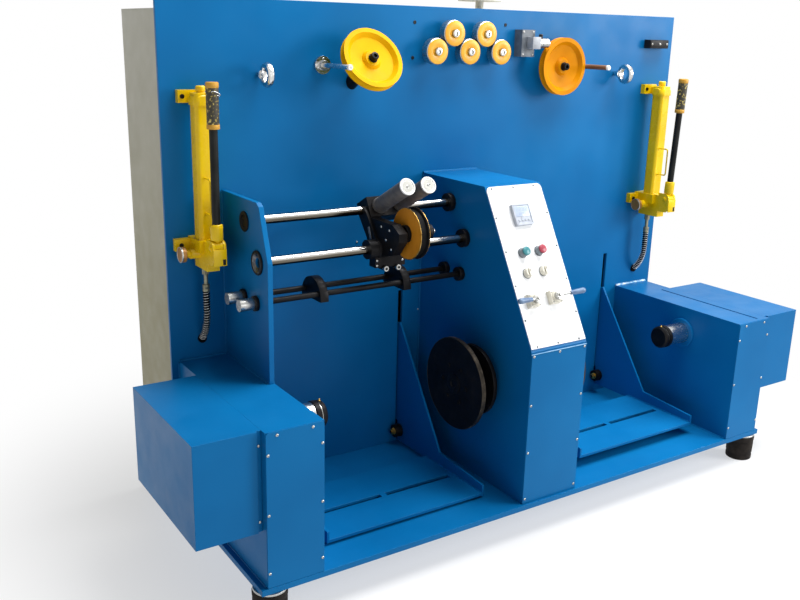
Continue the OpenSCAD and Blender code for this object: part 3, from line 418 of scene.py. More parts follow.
finishes["grey_plastic"] = moulded("grey_moulding", (92, 98, 104), (114, 120, 126), 0.38, 0.55)
finishes["black_plastic"] = moulded("black_moulding", (18, 18, 20), (30, 30, 32), 0.36, 0.55, shine=0.15)
finishes["cream_plastic"] = moulded("cream_moulding", (208, 204, 189), (226, 222, 209), 0.34, 0.5)
finishes["green_plastic"] = moulded("green_cap", (46, 116, 124), (66, 134, 140), 0.25, 0.4)
finishes["red_plastic"] = moulded("red_cap", (150, 52, 68), (168, 70, 84), 0.25, 0.4)
finishes["rubber"] = moulded("foot_rubber", (22, 19, 18), (42, 37, 33), 0.6, 0.8, 0.004, 0.12)

# %% [markdown]
# ## Finishes on the CAD nodes
#
# The record says which material slot each node takes, so finishes are handed out by slot, and a few nodes
# are repainted. A folded or sawn edge is never knife sharp, and the bright line along it makes a box look
# like steel. So a Weld modifier joins the loose triangles of the CAD solids and a Bevel modifier rounds
# their corners. The meshes themselves stay as they were.

# %% Hand out the finishes
slot_of = {part["node"]: part["material_slot"] for part in frame["record"]["subparts"]}
for name, node in frame["nodes"].items():
    node.data.materials.clear()
    node.data.materials.append(finishes[slot_of[name]])


def repaint(name, finish):
    """Gives a CAD node a finish in place of the one of its slot."""
    frame["nodes"][name].data.materials[0] = finish


for name in ("left_pintle_sleeve", "right_pintle_sleeve", "wire_guides"):
    repaint(name, finishes["polished_steel"])
repaint("control_bezels", moulded("bezel_grey", (112, 121, 127), (134, 143, 149), 0.38, 0.55))
repaint("left_sheave", finishes["amber_paint"])
print("finishes handed to", len(slot_of), "nodes")

# %% Soften the corners
MERGE_REACH = 0.00001
SHARP_ANGLE = radians(40)
FOLD_RADIUS = {
    0.6: "control_panel front_covers cabinet_sides cabinet_roof rear_covers",
    0.8: "side_columns side_wings left_drive_flange right_drive_flange",
    1.0: "rod_knobs left_selector right_selector bar_flanges wire_guides",
    1.2: "back_panel left_table right_table carriage_body length_encoder trip_dogs",
    1.5: "base_plate bracket_plate switch_box top_fitting",
    2.0: "console_housing valve_bodies",
    2.2: "pump_bodies",
}


def soften(node, radius):
    """Rounds a node's corners with modifiers that leave its mesh alone."""
    join = node.modifiers.new("join_triangles", "WELD")
    join.merge_threshold = MERGE_REACH
    rounding = node.modifiers.new("round_corners", "BEVEL")
    rounding.width = radius * MM
    rounding.segments = 2
    rounding.limit_method = "ANGLE"
    rounding.angle_limit = SHARP_ANGLE
    rounding.harden_normals = True


for radius, names in FOLD_RADIUS.items():
    for name in names.split():
        soften(frame["nodes"][name], radius)
print("corners softened by", list(FOLD_RADIUS), "mm")

# %% [markdown]
# ## How a new piece is made
#
# Most small parts are turned on a lathe, and Blender's spin does the same: a few points make a half
# profile, and the spin sweeps it round. Flat parts start as blocks with bevelled edges. A matrix puts each
# shape where it belongs, and several can be joined into one piece. The last helper gives the piece its
# finish, smooths its round faces and makes it ride on the body that carries it.

# %% Turned shapes


def turned(profile, steps, closed=False):
    """Spins a half profile of (radius, height) pairs, in millimetres, round the Z axis."""
    shape = bmesh.new()
    points = [shape.verts.new((radius * MM, 0, height * MM)) for radius, height in profile]
    lines = [shape.edges.new(pair) for pair in zip(points, points[1:])]
    if closed:
        lines.append(shape.edges.new((points[-1], points[0])))
    bmesh.ops.spin(
        shape, geom=points + lines, cent=(0, 0, 0), axis=UP, angle=2 * pi, steps=steps, use_merge=True)
    bmesh.ops.remove_doubles(shape, verts=shape.verts, dist=0.000001)
    bmesh.ops.recalc_face_normals(shape, faces=shape.faces)
    return shape


def ring(profile, steps):
    """A turned ring, whose profile closes on itself."""
    return turned(profile, steps, True)


print("a washer has", len(ring([(5, 0), (9, 0), (9, 2), (5, 2)], 16).faces), "faces")

# %% Blocks and bars


def bevelled(shape, edges, width, segments=2):
    """Rounds edges of a shape by a width in millimetres."""
    bmesh.ops.bevel(
        shape, geom=edges, offset=width * MM, segments=segments, profile=0.5, affect="EDGES", material=-1)


def top_face(shape):
    """The highest face of a shape."""
    return max(shape.faces, key=lambda side: side.calc_center_median().z)


def block(length, width, height):
    """A cuboid in the middle of its own axes, in millimetres."""
    shape = bmesh.new()
    bmesh.ops.create_cube(shape, size=1.0)
    bmesh.ops.scale(shape, vec=(length * MM, width * MM, height * MM), verts=shape.verts)
    return shape


def bar(length, width, height, bevel=0.3):
    """Such a cuboid with bevelled edges."""
    shape = block(length, width, height)
    bevelled(shape, shape.edges[:], bevel)
    return shape


print("a bar has", len(bar(9, 6, 2).faces), "faces")

# %% Joining shapes and finishing a piece


def joined(parts):
    """One shape of many, given as pairs of a shape and its matrix."""
    whole = bmesh.new()
    for shape, matrix in parts:
        mesh = bpy.data.meshes.new("part")
        shape.to_mesh(mesh)
        shape.free()
        mesh.transform(matrix)
        whole.from_mesh(mesh)
        bpy.data.meshes.remove(mesh)
    return whole


def ridden(piece, body):
    """Lets a piece ride on a body."""
    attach(piece, body)
    print(piece.name, "rides on", body)
    return piece


def finished(shape, name, slot, matrix=None, body="machine", finish=None, crease=38):
    """Makes a piece of a shape, at a matrix, with the finish of its slot or another one."""
    mesh = bpy.data.meshes.new(name)
    shape.to_mesh(mesh)
    shape.free()
    if matrix:
        mesh.transform(matrix)
    for face in mesh.polygons:
        face.use_smooth = True
    mesh.set_sharp_from_angle(angle=radians(crease))
    mesh.materials.append(finish or finishes[slot])
    return ridden(shown(name, mesh), body)


print("shapes can be joined and finished")

# %% [markdown]
# ## Cover screws
#
# Sheet covers are held by small round-headed screws with a sunk middle, bright on the covers and grey on
# the control panel. There are dozens of them, so each has only a few faces. A pale strip along the top edge
# of the console's cover is a painted highlight.

# %% One round-headed screw
DOME = ((1, 0), (1, 0.26), (0.72, 0.56), (0.44, 0.62), (0.38, 0.25), (0, 0.2))


def round_screw(radius):
    """A domed screw head with a sunk middle."""
    return turned([(across * radius, up * radius) for across, up in DOME], 12)


def screws(places, direction, radius):
    """Screws at points that all face one way."""
    return joined((round_screw(radius), facing(place, direction)) for place in places)


print("a screw head has", len(round_screw(5).faces), "faces")

# %% The console's front cover
CONSOLE_FRONT = -611
CONSOLE_LEFT = -135
CONSOLE_RIGHT = 93
COVER_ROWS = (498, 337, 177, 17)
COVER_TOP = 505.5
COVER_SCREW = 4.2
COVER_INSET = 9
EDGE_LENGTH = 230
columns = (CONSOLE_LEFT + COVER_INSET, CONSOLE_RIGHT - COVER_INSET)
places = [at(x, CONSOLE_FRONT, z) for x in columns for z in COVER_ROWS]
places.append(at(sum(columns) / 2, CONSOLE_FRONT, COVER_ROWS[0]))
finished(screws(places, FRONT, COVER_SCREW), "console_cover_screws", "bright_steel")
# a pale strip that paints the highlight along the top edge of the console's cover
cover_highlight_finish = moulded("painted_highlight_cover_edge", (120, 172, 208), (168, 204, 228), 0.3, 0.45)
edge_place = put(-22, CONSOLE_FRONT - 0.4, COVER_TOP)
finished(bar(EDGE_LENGTH, 1.4, 2.4, 0.5), "console_cover_highlight", "blue_paint", edge_place, finish=cover_highlight_finish)

# %% Screws of the column covers and wing flanges
COLUMN_FRONT = -619
COLUMN_IN = 855
COLUMN_OUT = 1027
COLUMN_INSET = 6.5
WING_FRONT = -592
WING_FLANGE = 1034
TOP_ROW = 441
columns = (COLUMN_OUT - COLUMN_INSET, COLUMN_IN + COLUMN_INSET)
spots = [(x, COLUMN_FRONT, z) for x in columns for z in (389, 217, 45)]
spots += [(x, COLUMN_FRONT, TOP_ROW) for x in (994, 890)]
spots += [(WING_FLANGE, WING_FRONT, z) for z in (409, 190)]
places = [at(side * x, y, z) for side in (-1, 1) for x, y, z in spots]
finished(screws(places, FRONT, COVER_SCREW), "column_cover_screws", "bright_steel")

# %% Screws of the rear covers
COVER_BACK = 340
REAR_COVERS = ((-1039, -1.5), (1.5, 1039))
REAR_INSET = 14
REAR_HEIGHTS = (260, 500, 745, 990, 1230)
REAR_TOP = 1475
REAR_SCREW = 5.5
places = []
for left, right in REAR_COVERS:
    sides = (left + REAR_INSET, right - REAR_INSET)
    thirds = ((2 * left + right) / 3, (left + 2 * right) / 3)
    places += [at(x, COVER_BACK, z) for x in sides + thirds for z in (REAR_INSET, REAR_TOP)]
    places += [at(x, COVER_BACK, z) for x in sides for z in REAR_HEIGHTS]
finished(screws(places, BACK, REAR_SCREW), "rear_cover_screws", "bright_steel")

# %% [markdown]
# ## The sloped control panel
#
# The white panel leans back at about thirty degrees. A matrix carries its slope, so a place on the panel is
# a distance from its left edge and a distance down from its top, as on a drilling template.

# %% Places on the slope
CONSOLE_TOP_DEPTH = 343
CONSOLE_TOP = 981
CONSOLE_NOSE = 512
slope_angle = atan2(-CONSOLE_FRONT - CONSOLE_TOP_DEPTH, CONSOLE_TOP - CONSOLE_NOSE)
slope = put(CONSOLE_LEFT, -CONSOLE_TOP_DEPTH, CONSOLE_TOP) @ Matrix.Rotation(pi / 2 - slope_angle, 4, "X")


def on_slope(across, down, out=0.0):
    """The matrix of a place on the control panel, in millimetres."""
    return slope @ Matrix.Translation((across * MM, -down * MM, out * MM))


template = [(23, 9), (110, 9), (194, 9), (26, 525), (111, 525), (199, 525)]
template += [(across, down) for across in (9, 219) for down in (105, 217, 328, 439)]
heads = joined((round_screw(3.2), on_slope(*spot)) for spot in template)
finished(heads, "control_panel_screws", "grey_plastic")

# %% [markdown]
# ## The panel meter
#
# A square counter sits at the top of the control panel. Its case starts as a block: the corners are
# bevelled, then the front is inset twice, once for the rim and once for the window, which is pushed in.
# This piece takes the place of the plain CAD block.

# %% Meter case
METER = (109, 104)
METER_SIDE = 72
METER_DEEP = 12
METER_CORNER = 4
METER_EDGE = 1.6
METER_RIM = 4.5
WINDOW_DEEP = 1.8

case = block(METER_SIDE, METER_SIDE, METER_DEEP)
upright = [edge for edge in case.edges if abs(edge.verts[0].co.z - edge.verts[1].co.z) > MM]
bevelled(case, upright, METER_CORNER, segments=4)
bevelled(case, list(top_face(case).edges), METER_EDGE)
window = [top_face(case)]
bmesh.ops.inset_region(case, faces=window, thickness=METER_RIM * MM, depth=0.0)
bmesh.ops.inset_region(case, faces=window, thickness=0.8 * MM, depth=-WINDOW_DEEP * MM)
case_finish = moulded("meter_case", (166, 172, 183), (184, 190, 200), 0.35, 0.5)
meter = finished(case, "meter_case", "grey_plastic", on_slope(*METER, METER_DEEP / 2), finish=case_finish)
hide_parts("panel_meter")


def on_meter(across, down, out):
    """The matrix of a place on the meter's front, from its middle."""
    return on_slope(METER[0] + across, METER[1] + down, METER_DEEP + out)


# %% Meter window and keys
window_finish = coat("meter_window", [(168, 181, 204), (184, 196, 216)], (0.03, 2.0), (0.08, 0.18, 0.01, 2.0))
finished(bar(58, 34, 1.4), "meter_window", "grey_plastic", on_meter(0, -10, -1.6), finish=window_finish)
keys = joined((bar(9, 6, 2.4, 0.8), on_meter(across, 20, -1.0)) for across in (-19.5, -6.5, 6.5, 19.5))
finished(keys, "meter_keys", "grey_plastic", finish=case_finish)

# %% [markdown]
# The counter's digits are seven-segment displays. Switched off, a segment is only a shade darker than the
# window, so two rows of plain eights are laid on it as thin bars.

# %% Digits that are switched off
digit_finish = moulded("digit_segment", (146, 160, 186), (160, 174, 198), 0.3, 0.4)


def digit_bars(across, down, height):
    """Seven thin bars that make one digit."""
    long = height * 0.4
    thin = height * 0.1
    segments = [(long, thin, 0, up * height / 2) for up in (-1, 0, 1)]
    segments += [(thin, long, side * height * 0.27, up * height / 4) for side in (-1, 1) for up in (-1, 1)]
    return [(bar(wide, tall, 0.5, 0.1), on_meter(across + x, down - y, -0.8))
            for wide, tall, x, y in segments]


digits = []
for column in range(4):
    digits += digit_bars(column * 12 - 18, -17, 12)
    digits += digit_bars(column * 8 - 12, -2, 8)
finished(joined(digits), "meter_digits", "grey_plastic", finish=digit_finish)

# %% [markdown]
# ## Buttons, selectors and valves
#
# The buttons and selectors are CAD nodes. What is missing is small: a face on each button, a skirt, a ring
# and a pointer on each selector, a nut under each bezel, and a cap nut and a tapered grip on each valve
# lever.

# %% Bezel nuts, button faces and selectors
BUTTONS = {"start_button": ((71, 227), "green_plastic"), "stop_button": ((138, 227), "red_plastic")}
SELECTORS = {"left_selector": (67, 294), "right_selector": (133, 294)}
BEZEL_NUT = [(14.6, 0), (16.6, 0), (16.6, 1.6), (15.8, 2.4), (14.6, 2.4)]
BUTTON_FACE = [(0, 23.4), (13.6, 23.4), (14.4, 24), (14.4, 24.8), (13.6, 25.4), (0, 25.6)]
SKIRT = [(8, 8.4), (14.2, 8.4), (14.4, 9), (13.6, 15.6), (12.8, 16.6), (8, 16.8)]
SELECTOR_RING = [(14.2, 2.3), (15.3, 2.3), (15.3, 7.4), (14.6, 8.2), (14.2, 8.2)]
spots = [spot for spot, slot in BUTTONS.values()] + list(SELECTORS.values())
finished(joined((ring(BEZEL_NUT, 24), on_slope(*spot)) for spot in spots), "bezel_nuts", "grey_plastic")
for name, (spot, slot) in BUTTONS.items():
    finished(turned(BUTTON_FACE, 32), name + "_face", slot, on_slope(*spot), name)
for name, spot in SELECTORS.items():
    finished(ring(SKIRT, 32), name + "_skirt", "cream_plastic", on_slope(*spot), name)
collars = joined((ring(SELECTOR_RING, 32), on_slope(*spot)) for spot in SELECTORS.values())
finished(collars, "selector_rings", "cream_plastic")
for name, (across, down) in SELECTORS.items():
    mark = on_slope(across, down - 6.5, 20.1)
    finished(bar(1.6, 9, 0.8, 0.2), name + "_pointer", "black_plastic", mark, name)

# %% Valve levers, each with its place, its side and its reach
VALVES = {"left_valve_lever": (52, -1, 82), "right_valve_lever": (140, 1, 101)}
VALVE_DOWN = 383
VALVE_FACE = 20
VALVE_CORNER = 16
LEVER_OUT = 33
LEVER_RISE = radians(84)
GRIP_LENGTH = 56
CAP_NUT = [(11, 38.2), (11, 40), (6, 40.4), (6, 44), (5, 45), (0, 45)]
grip_finish = moulded("valve_grip", (84, 108, 142), (114, 138, 168), 0.25, 0.4)
corners = []
for name, (across, side, reach) in VALVES.items():
    along = on_slope(across, VALVE_DOWN, LEVER_OUT) @ Matrix.Rotation(side * LEVER_RISE, 4, "Y")
    start = reach - GRIP_LENGTH
    grip = [(4.1, start - 1), (6.4, start - 1), (7.0, start + 1), (6.8, start + 4), (7.4, start + 9),
            (9.1, reach - 11), (9.0, reach - 6), (7.0, reach - 1.5), (3.6, reach + 0.6), (0, reach + 1)]
    finished(turned(grip, 24), name + "_grip", "black_plastic", along, name, grip_finish)
    finished(turned(CAP_NUT, 24), name + "_cap_nut", "bright_steel", on_slope(across, VALVE_DOWN), name)
    repaint(name, finishes["bright_steel"])
    for x, y in ((-1, -1), (-1, 1), (1, -1), (1, 1)):
        corners.append(on_slope(across + x * VALVE_CORNER, VALVE_DOWN + y * VALVE_CORNER, VALVE_FACE))
finished(joined((round_screw(2.6), corner) for corner in corners), "valve_body_screws", "bright_steel")

# %% [markdown]
# ## Bar ends on the bracket plate
#
# Both chromed bars end in the bracket plate. From outside one sees a black bush at the upper bar, with a
# black disc in its bore that paints the shade on the bar end, and a wider, dished bush at the lower one,
# whose bore catches a little light.

# %% Bushes in the bracket plate
BRACKET_OUT = -871
UPPER_BAR = (-165, 905)
LOWER_BAR = (-250, 800)
UPPER_BUSH = [(14.4, 0), (29, 0), (30, 1), (30, 3), (28.5, 4.5), (19, 4.5), (17.5, 3), (16.5, 0.6),
              (14.4, 0.6)]
LOWER_BUSH = [(31, 0), (35, 0), (36, 1), (36, 4), (34.5, 5.5), (31, 5.5), (30, 4.5)]
BORE = [(30.6, 0.2), (30.6, 4.6), (29, 4.9), (27, 4.2), (17, 1.2), (15.5, 0.5), (14.4, 0.3)]
BORE_SHADE_DISC = [(16.8, 0.3), (16.2, 1.4), (12, 2.4), (5, 2.4), (4.4, 1.4), (0, 1.4)]
upper_end = facing(at(BRACKET_OUT, *UPPER_BAR), LEFT)
lower_end = facing(at(BRACKET_OUT, *LOWER_BAR), LEFT)
bushes = [(ring(UPPER_BUSH, 40), upper_end), (ring(LOWER_BUSH, 40), lower_end)]
finished(joined(bushes), "bar_end_bushes", "black_steel")
finished(turned(BORE, 40), "lower_bar_bore", "chrome_bar", lower_end, finish=finishes["dark_steel"])
# a black disc that paints the shade on the bar end inside the upper bush
finished(turned(BORE_SHADE_DISC, 32), "upper_bar_end_shade_disc", "black_steel", upper_end)

# %% [markdown]
# ## The traverse carriage
#
# The black carriage slides along the bars and lays the wire. Its pulley is a black grooved ring between
# orange faces with thin gold rims. Two grey rollers lean forward, each closed by a white cap and a screw.
# Below hang the small bright rollers of the limit switches, which the trip dogs push.

# %% Pulley groove, hub and rims
CARRIAGE_LEFT = -480
PULLEY_AXIS = (-340, 858)
GROOVE = [(78.5, 0.9), (78.5, 5.6), (72, 8.2), (72, 24), (78.5, 27), (78.5, 31.2), (76, 31.2), (66, 24),
          (66, 8), (76, 0.9)]
INNER_HUB = [(11.6, -12), (25, -12), (27, -10.4), (27, -0.4), (24, 0.6), (11.6, 0.6)]
OUTER_HUB = [(11.6, 31.5), (29, 31.5), (29, 42), (27.4, 44), (11.6, 44)]
LEFT_RIM = [(76.6, -0.4), (78, -0.4), (78.6, 0.2), (78.6, 1), (76.6, 1)]
RIGHT_RIM = [(76.6, 31.1), (78.6, 31.1), (78.6, 31.9), (78, 32.4), (76.6, 32.4)]
groove_finish = moulded("pulley_black", (12, 12, 13), (24, 24, 25), 0.5, 0.65, shine=0.06)
gold = coat("gold_rim", [(186, 138, 58), (224, 184, 104)], (0.02, 3.0), (0.22, 0.4, 0.01, 3.0), metal=0.9)
along_pulley = facing(at(CARRIAGE_LEFT + 56, *PULLEY_AXIS), RIGHT)
black_rings = [ring(GROOVE, 64), ring(INNER_HUB, 40), ring(OUTER_HUB, 40)]
grooved = joined((shape, along_pulley) for shape in black_rings)
finished(grooved, "pulley_groove", "black_plastic", None, "carriage_pulley", groove_finish)
rims = joined((ring(rim, 64), along_pulley) for rim in (LEFT_RIM, RIGHT_RIM))
finished(rims, "pulley_rims", "orange_paint", None, "carriage_pulley", gold)
repaint("carriage_pulley", coat(
    "pulley_enamel", [(206, 128, 30), (224, 146, 44)], (0.05, 3.0), (0.34, 0.5, 0.02, 3.0), shine=0.08))

# %% Pulley stub, washer and end nut
STUB = [(11.2, 37.5), (19, 37.5), (19, 40), (16, 41), (16, 42.6), (11.2, 42.6)]
END_NUT = [(23.2, 137), (23.2, 139.5), (14, 140), (13, 148), (11, 150), (0, 150)]
AXLE_TIP = [(8, 149.6), (8, 154), (6.5, 156), (0, 156.5)]
along_axle = facing(at(CARRIAGE_LEFT, *PULLEY_AXIS), RIGHT)
stub = joined([(ring(STUB, 36), along_axle), (turned(END_NUT, 36), along_axle)])
finished(stub, "pulley_stub", "black_steel", None, "carriage_body")
finished(turned(AXLE_TIP, 24), "pulley_axle_tip", "bright_steel", along_axle, "carriage_body")

# %% Guide roller caps
ROLLER_TILT = radians(28)
ROLLER_END = 206
ROLLERS = {"left_guide_roller": CARRIAGE_LEFT + 49, "right_guide_roller": CARRIAGE_LEFT + 124}
ROLLER_CAP = [(26.2, -1), (26.2, 2.6), (25.4, 3.4), (21.6, 3.4), (21, 2.8), (20.6, 0.9), (19.4, 0.9),
              (18.8, 2.2), (17.5, 2.6), (6.4, 2.2), (5.8, 1.4), (0, 1.4)]
ROLLER_DISH = [(17.2, 2.5), (17.2, 3.1), (16, 3.1), (6.6, 2.7), (6.6, 2.1)]
roller_way = Vector((0, -cos(ROLLER_TILT), sin(ROLLER_TILT)))
cap_finish = moulded("white_roller_cap", (222, 221, 216), (238, 237, 233), 0.22, 0.36)
dish_finish = moulded("roller_cap_dish", (176, 175, 168), (196, 195, 188), 0.3, 0.45)
roller_finish = moulded("roller_sleeve", (78, 76, 76), (104, 98, 92), 0.42, 0.6)
for name, x in ROLLERS.items():
    end = at(x, *UPPER_BAR) + roller_way * ROLLER_END * MM
    out = facing(end, roller_way)
    finished(turned(ROLLER_CAP, 48), name + "_cap", "cream_plastic", out, name, cap_finish)
    finished(turned(ROLLER_DISH, 40), name + "_dish", "cream_plastic", out, name, dish_finish)
    head = screws([end + roller_way * 1.2 * MM], roller_way, 4.6)
    finished(head, name + "_screw", "bright_steel", None, name)
    repaint(name, roller_finish)

# %% Limit switch rollers
WHEEL = [(4, -26), (8.4, -26), (8.9, -25), (8.9, -17), (8.4, -16), (4, -16)]
WHEEL_PIN = [(4.1, -27.5), (4.1, -10), (0, -10)]
WHEEL_AXIS = (LOWER_BAR[0] - 4, 740)
wheels = []
for x in (CARRIAGE_LEFT + 25, CARRIAGE_LEFT + 70):
    out = facing(at(x, *WHEEL_AXIS), BACK)
    wheels += [(ring(WHEEL, 24), out), (turned(WHEEL_PIN, 12), out)]
finished(joined(wheels), "switch_rollers", "bright_steel", None, "carriage_body")

# %% [markdown]
# A pale strip runs down the carriage's left cheek to the switches: a painted highlight of the cheek's lit
# edge. It is a bar turned to the slant of the cheek. Small bright screws sit on the cheek and on the
# switches.

# %% Highlight strip and carriage screws
STRIP_TOP = Vector((-214, 862))
STRIP_FOOT = Vector((-247, 768))
SIDE_SCREWS = ((-272, 872), (-300, 836), (-318, 868), (-330, 812))
SWITCH_SCREWS = ((CARRIAGE_LEFT - 2, 766), (CARRIAGE_LEFT - 2, 750), (-390, 760))
slant = STRIP_FOOT - STRIP_TOP
lean = Matrix.Rotation(atan2(slant.y, slant.x), 4, "X")
middle = put(CARRIAGE_LEFT - 1.4, *((STRIP_TOP + STRIP_FOOT) / 2))
# a grey bar that paints the highlight of the cheek's lit edge
finished(bar(3, slant.length, 9, 0.6), "cheek_highlight_strip", "grey_plastic", middle @ lean, "carriage_body")
heads = screws([at(CARRIAGE_LEFT + 8, y, z) for y, z in SIDE_SCREWS], LEFT, 4.2)
finished(heads, "carriage_side_screws", "bright_steel", None, "carriage_body")
heads = screws([at(x, LOWER_BAR[0] - 18, z) for x, z in SWITCH_SCREWS], FRONT, 4.0)
finished(heads, "switch_screws", "bright_steel", None, "carriage_body")

# %% [markdown]
# ## Straightening rollers and sheaves
#
# Five small rollers straighten the wire, and two dished sheaves lead it in and out. A roller has a yellow
# face and turns on a stud whose head has a hexagon socket. To make the socket, the flat top of a head is
# inset, the inset ring is moved from a circle to a hexagon, and the face is pushed down.

# %% Bolt heads


def prism(radius, height, sides):
    """A prism that stands on the origin, in millimetres."""
    shape = bmesh.new()
    bmesh.ops.create_cone(
        shape, cap_ends=True, segments=sides, radius1=radius * MM, radius2=radius * MM, depth=height * MM)
    bmesh.ops.translate(shape, vec=(0, 0, height * MM / 2), verts=shape.verts)
    return shape


def hexagon_head(flat, height):
    """A hexagon bolt head with a chamfered top; flat is half its width, in millimetres."""
    head = prism(flat / cos(pi / 6), height, 6)
    bmesh.ops.inset_region(head, faces=[top_face(head)], thickness=1.6 * MM, depth=0.8 * MM)
    return head


def socket_head(radius, height, key):
    """A round head with a hexagon socket; key is half the width of the socket, in millimetres."""
    head = prism(radius, height, 24)
    bevelled(head, list(top_face(head).edges), 0.1 * radius)
    top = top_face(head)
    bmesh.ops.inset_region(head, faces=[top], thickness=(0.86 * radius - key) * MM, depth=0.0)
    for corner in top.verts:
        angle = atan2(corner.co.y, corner.co.x)
        reach = key * MM / cos(angle % (pi / 3) - pi / 6)
        corner.co.x = reach * cos(angle)
        corner.co.y = reach * sin(angle)
    bmesh.ops.inset_region(head, faces=[top], thickness=0.2 * MM, depth=-0.55 * height * MM)
    bmesh.ops.recalc_face_normals(head, faces=head.faces)
    return head


print("a socket head has", len(socket_head(12, 10, 5).faces), "faces")

# %% Roller faces and studs
ROLLER_ROW = 1383
ROLLER_PLATE = -24
STRAIGHTENERS = ((-131, 0), (-64, 58), (3, 0), (70, 58), (137, 0))
ROLLER_FACE = [(12.5, 30.1), (12.5, 34.2), (13.6, 35), (39.2, 35), (40.2, 34.4), (40.2, 33.2), (32.5, 33),
               (32.5, 30.1)]
face_finish = coat(
    "roller_face_enamel", [(226, 158, 34), (243, 180, 60)], (0.05, 3.0), (0.28, 0.42, 0.02, 3.0),
    (0.00006, 0.5, 0.003, 2.0))
studs = []
for number, (x, rise) in enumerate(STRAIGHTENERS, 1):
    name = "straightener_%d" % number
    front = facing(at(x, ROLLER_PLATE, ROLLER_ROW + rise), FRONT)
    finished(ring(ROLLER_FACE, 48), name + "_face", "yellow_paint", front, name, face_finish)
    repaint(name, finishes["bright_steel"])
    studs.append((socket_head(12.8, 7, 6.8), front @ Matrix.Translation((0, 0, 35.8 * MM))))
    studs.append((turned([(9.8, 31), (9.8, 36.2), (0, 36.2)], 24), front))
finished(joined(studs), "straightener_studs", "bright_steel")

# %% Sheave hub bolts, each with the height of its hub
SHEAVE_TILT = radians(31)
left_hub = facing(at(-420, -118, 1358), (0, -cos(SHEAVE_TILT), sin(SHEAVE_TILT)))
right_hub = facing(at(420, -44, 1337), FRONT)
bolts = []
for hub, face in ((left_hub, 8.0), (right_hub, 21.0)):
    washer = [(10.2, face), (15, face), (15, face + 2), (14.4, face + 2.6), (0, face + 2.6)]
    bolts.append((turned(washer, 28), hub))
    bolts.append((socket_head(12.5, 15, 6.4), hub @ Matrix.Translation((0, 0, (face + 2.5) * MM))))
finished(joined(bolts), "sheave_hub_bolts", "black_steel")

# %% Guide posts
POST_X = 530
POST_Z = 1337
POST_LENGTH = 180
POST_END = POST_LENGTH - 8
SLEEVE = [(7.6, 12), (8.4, 12), (8.6, 13), (8.6, POST_END), (7.6, POST_END)]
TIP = [(7.7, POST_END - 1), (8.9, POST_END), (8.9, POST_END + 7), (8, POST_END + 8.5), (3.6, POST_END + 8.5),
       (3.2, POST_END + 6), (0, POST_END + 6)]
COLLAR = [(7.7, 11), (15, 11), (15, 20), (13.5, 22), (7.7, 22)]
posts = [facing(at(side * POST_X, 0, POST_Z), FRONT) for side in (-1, 1)]
sleeve_finish = coat(
    "brown_sleeve", [(92, 66, 50), (128, 96, 74)], (0.015, 3.0, (1, 0.2, 1)), (0.36, 0.55, 0.01, 3.0))
finished(ring(SLEEVE, 24), "right_post_sleeve", "bronze_knob", posts[1], finish=sleeve_finish)
tips = joined((turned(TIP, 24), post) for post in posts)
finished(tips, "guide_post_tips", "cream_plastic", finish=cap_finish)
finished(joined((ring(COLLAR, 28), post) for post in posts), "guide_post_collars", "bright_steel")
places = []
for turn in (radians(90), radians(210), radians(330)):
    places += [at(side * POST_X + 20 * cos(turn), -11, POST_Z + 20 * sin(turn)) for side in (-1, 1)]
finished(screws(places, FRONT, 3.2), "guide_post_screws", "bright_steel")

# %% [markdown]
# ## Measuring unit and switch box
#
# Beside the right sheave sits the unit that measures wire length: a dark bracket, a paler housing and a
# bright cylinder with a small black knob. CAD drew them in one colour, so each gets a thin shell of its
# own. The black switch box at the panel's right edge gets a lid and three screws.

# %% Measuring unit
ENCODER = (268, 1414)
ENCODER_AXIS = -56
WHEEL_SHELL = [(0, -0.4), (15, -0.4), (16.4, 0.8), (16.4, 12), (15.6, 12.6), (15.6, 14), (16.4, 14.6),
               (16.4, 43.4), (15.2, 44.6), (0, 44.6)]
KNOB = [(7.3, 14), (7.3, 30), (6.4, 32.4), (0, 32.4)]


def on_encoder(x, y, z):
    """A point from the middle of the measuring unit, in millimetres."""
    return at(ENCODER[0] + x, y, ENCODER[1] + z)


pale_finish = moulded("pale_housing", (150, 154, 160), (170, 174, 180), 0.35, 0.5)
housing = Matrix.Translation(on_encoder(12, ENCODER_AXIS - 0.2, 2))
finished(bar(36.8, 32.6, 40.8, 1.2), "encoder_housing", "grey_plastic", housing, finish=pale_finish)
axle = facing(on_encoder(30, ENCODER_AXIS, 2), RIGHT)
finished(turned(WHEEL_SHELL, 36), "encoder_wheel", "bright_steel", axle)
knob_foot = Matrix.Translation(on_encoder(42, ENCODER_AXIS, 0))
finished(turned(KNOB, 20), "encoder_knob", "black_plastic", knob_foot)
places = [on_encoder(x, -40, z) for x in (-22, 22) for z in (-38, 38)]
finished(screws(places, FRONT, 3.6), "encoder_screws", "bright_steel")

# %% Switch box
BOX_X = 944.5
BOX_Z = 1421
finished(bar(99, 3.2, 28, 1.2), "switch_box_lid", "black_plastic", put(BOX_X, -31.2, BOX_Z))
places = [at(BOX_X + x, -32.7, BOX_Z) for x in (-41, 2, 41)]
finished(screws(places, FRONT, 4.4), "switch_box_screws", "bright_steel")

# %% [markdown]
# ## Hand pumps
#
# Two yellow hand pumps lift the tables. The lever is a black tube in a yellow socket, with a flecked grip
# between amber rings. The release knob is copper with a bright rim, on a stepped yellow neck. A thin wire
# bail stands in front of the tank.

# %% Places on the pumps
PUMPS = {"left": (-950, 0.0), "right": (950, 2.0)}
TANK_TOP = 1262
BLOCK_TOP = 842
PIVOT = (-147, 832)
SOCKET_TOP = 66
levers = {}
for side, (x, lean) in PUMPS.items():
    levers[side] = put(x, *PIVOT) @ Matrix.Rotation(radians(lean), 4, "X")
print("levers lean", [lean for x, lean in PUMPS.values()], "degrees")

# %% [markdown]
# CAD drew a lever's yellow socket and its black tube as one solid. One material can still paint both: the
# height of a point, read from the Object coordinates, switches from yellow to black at the socket's rim.

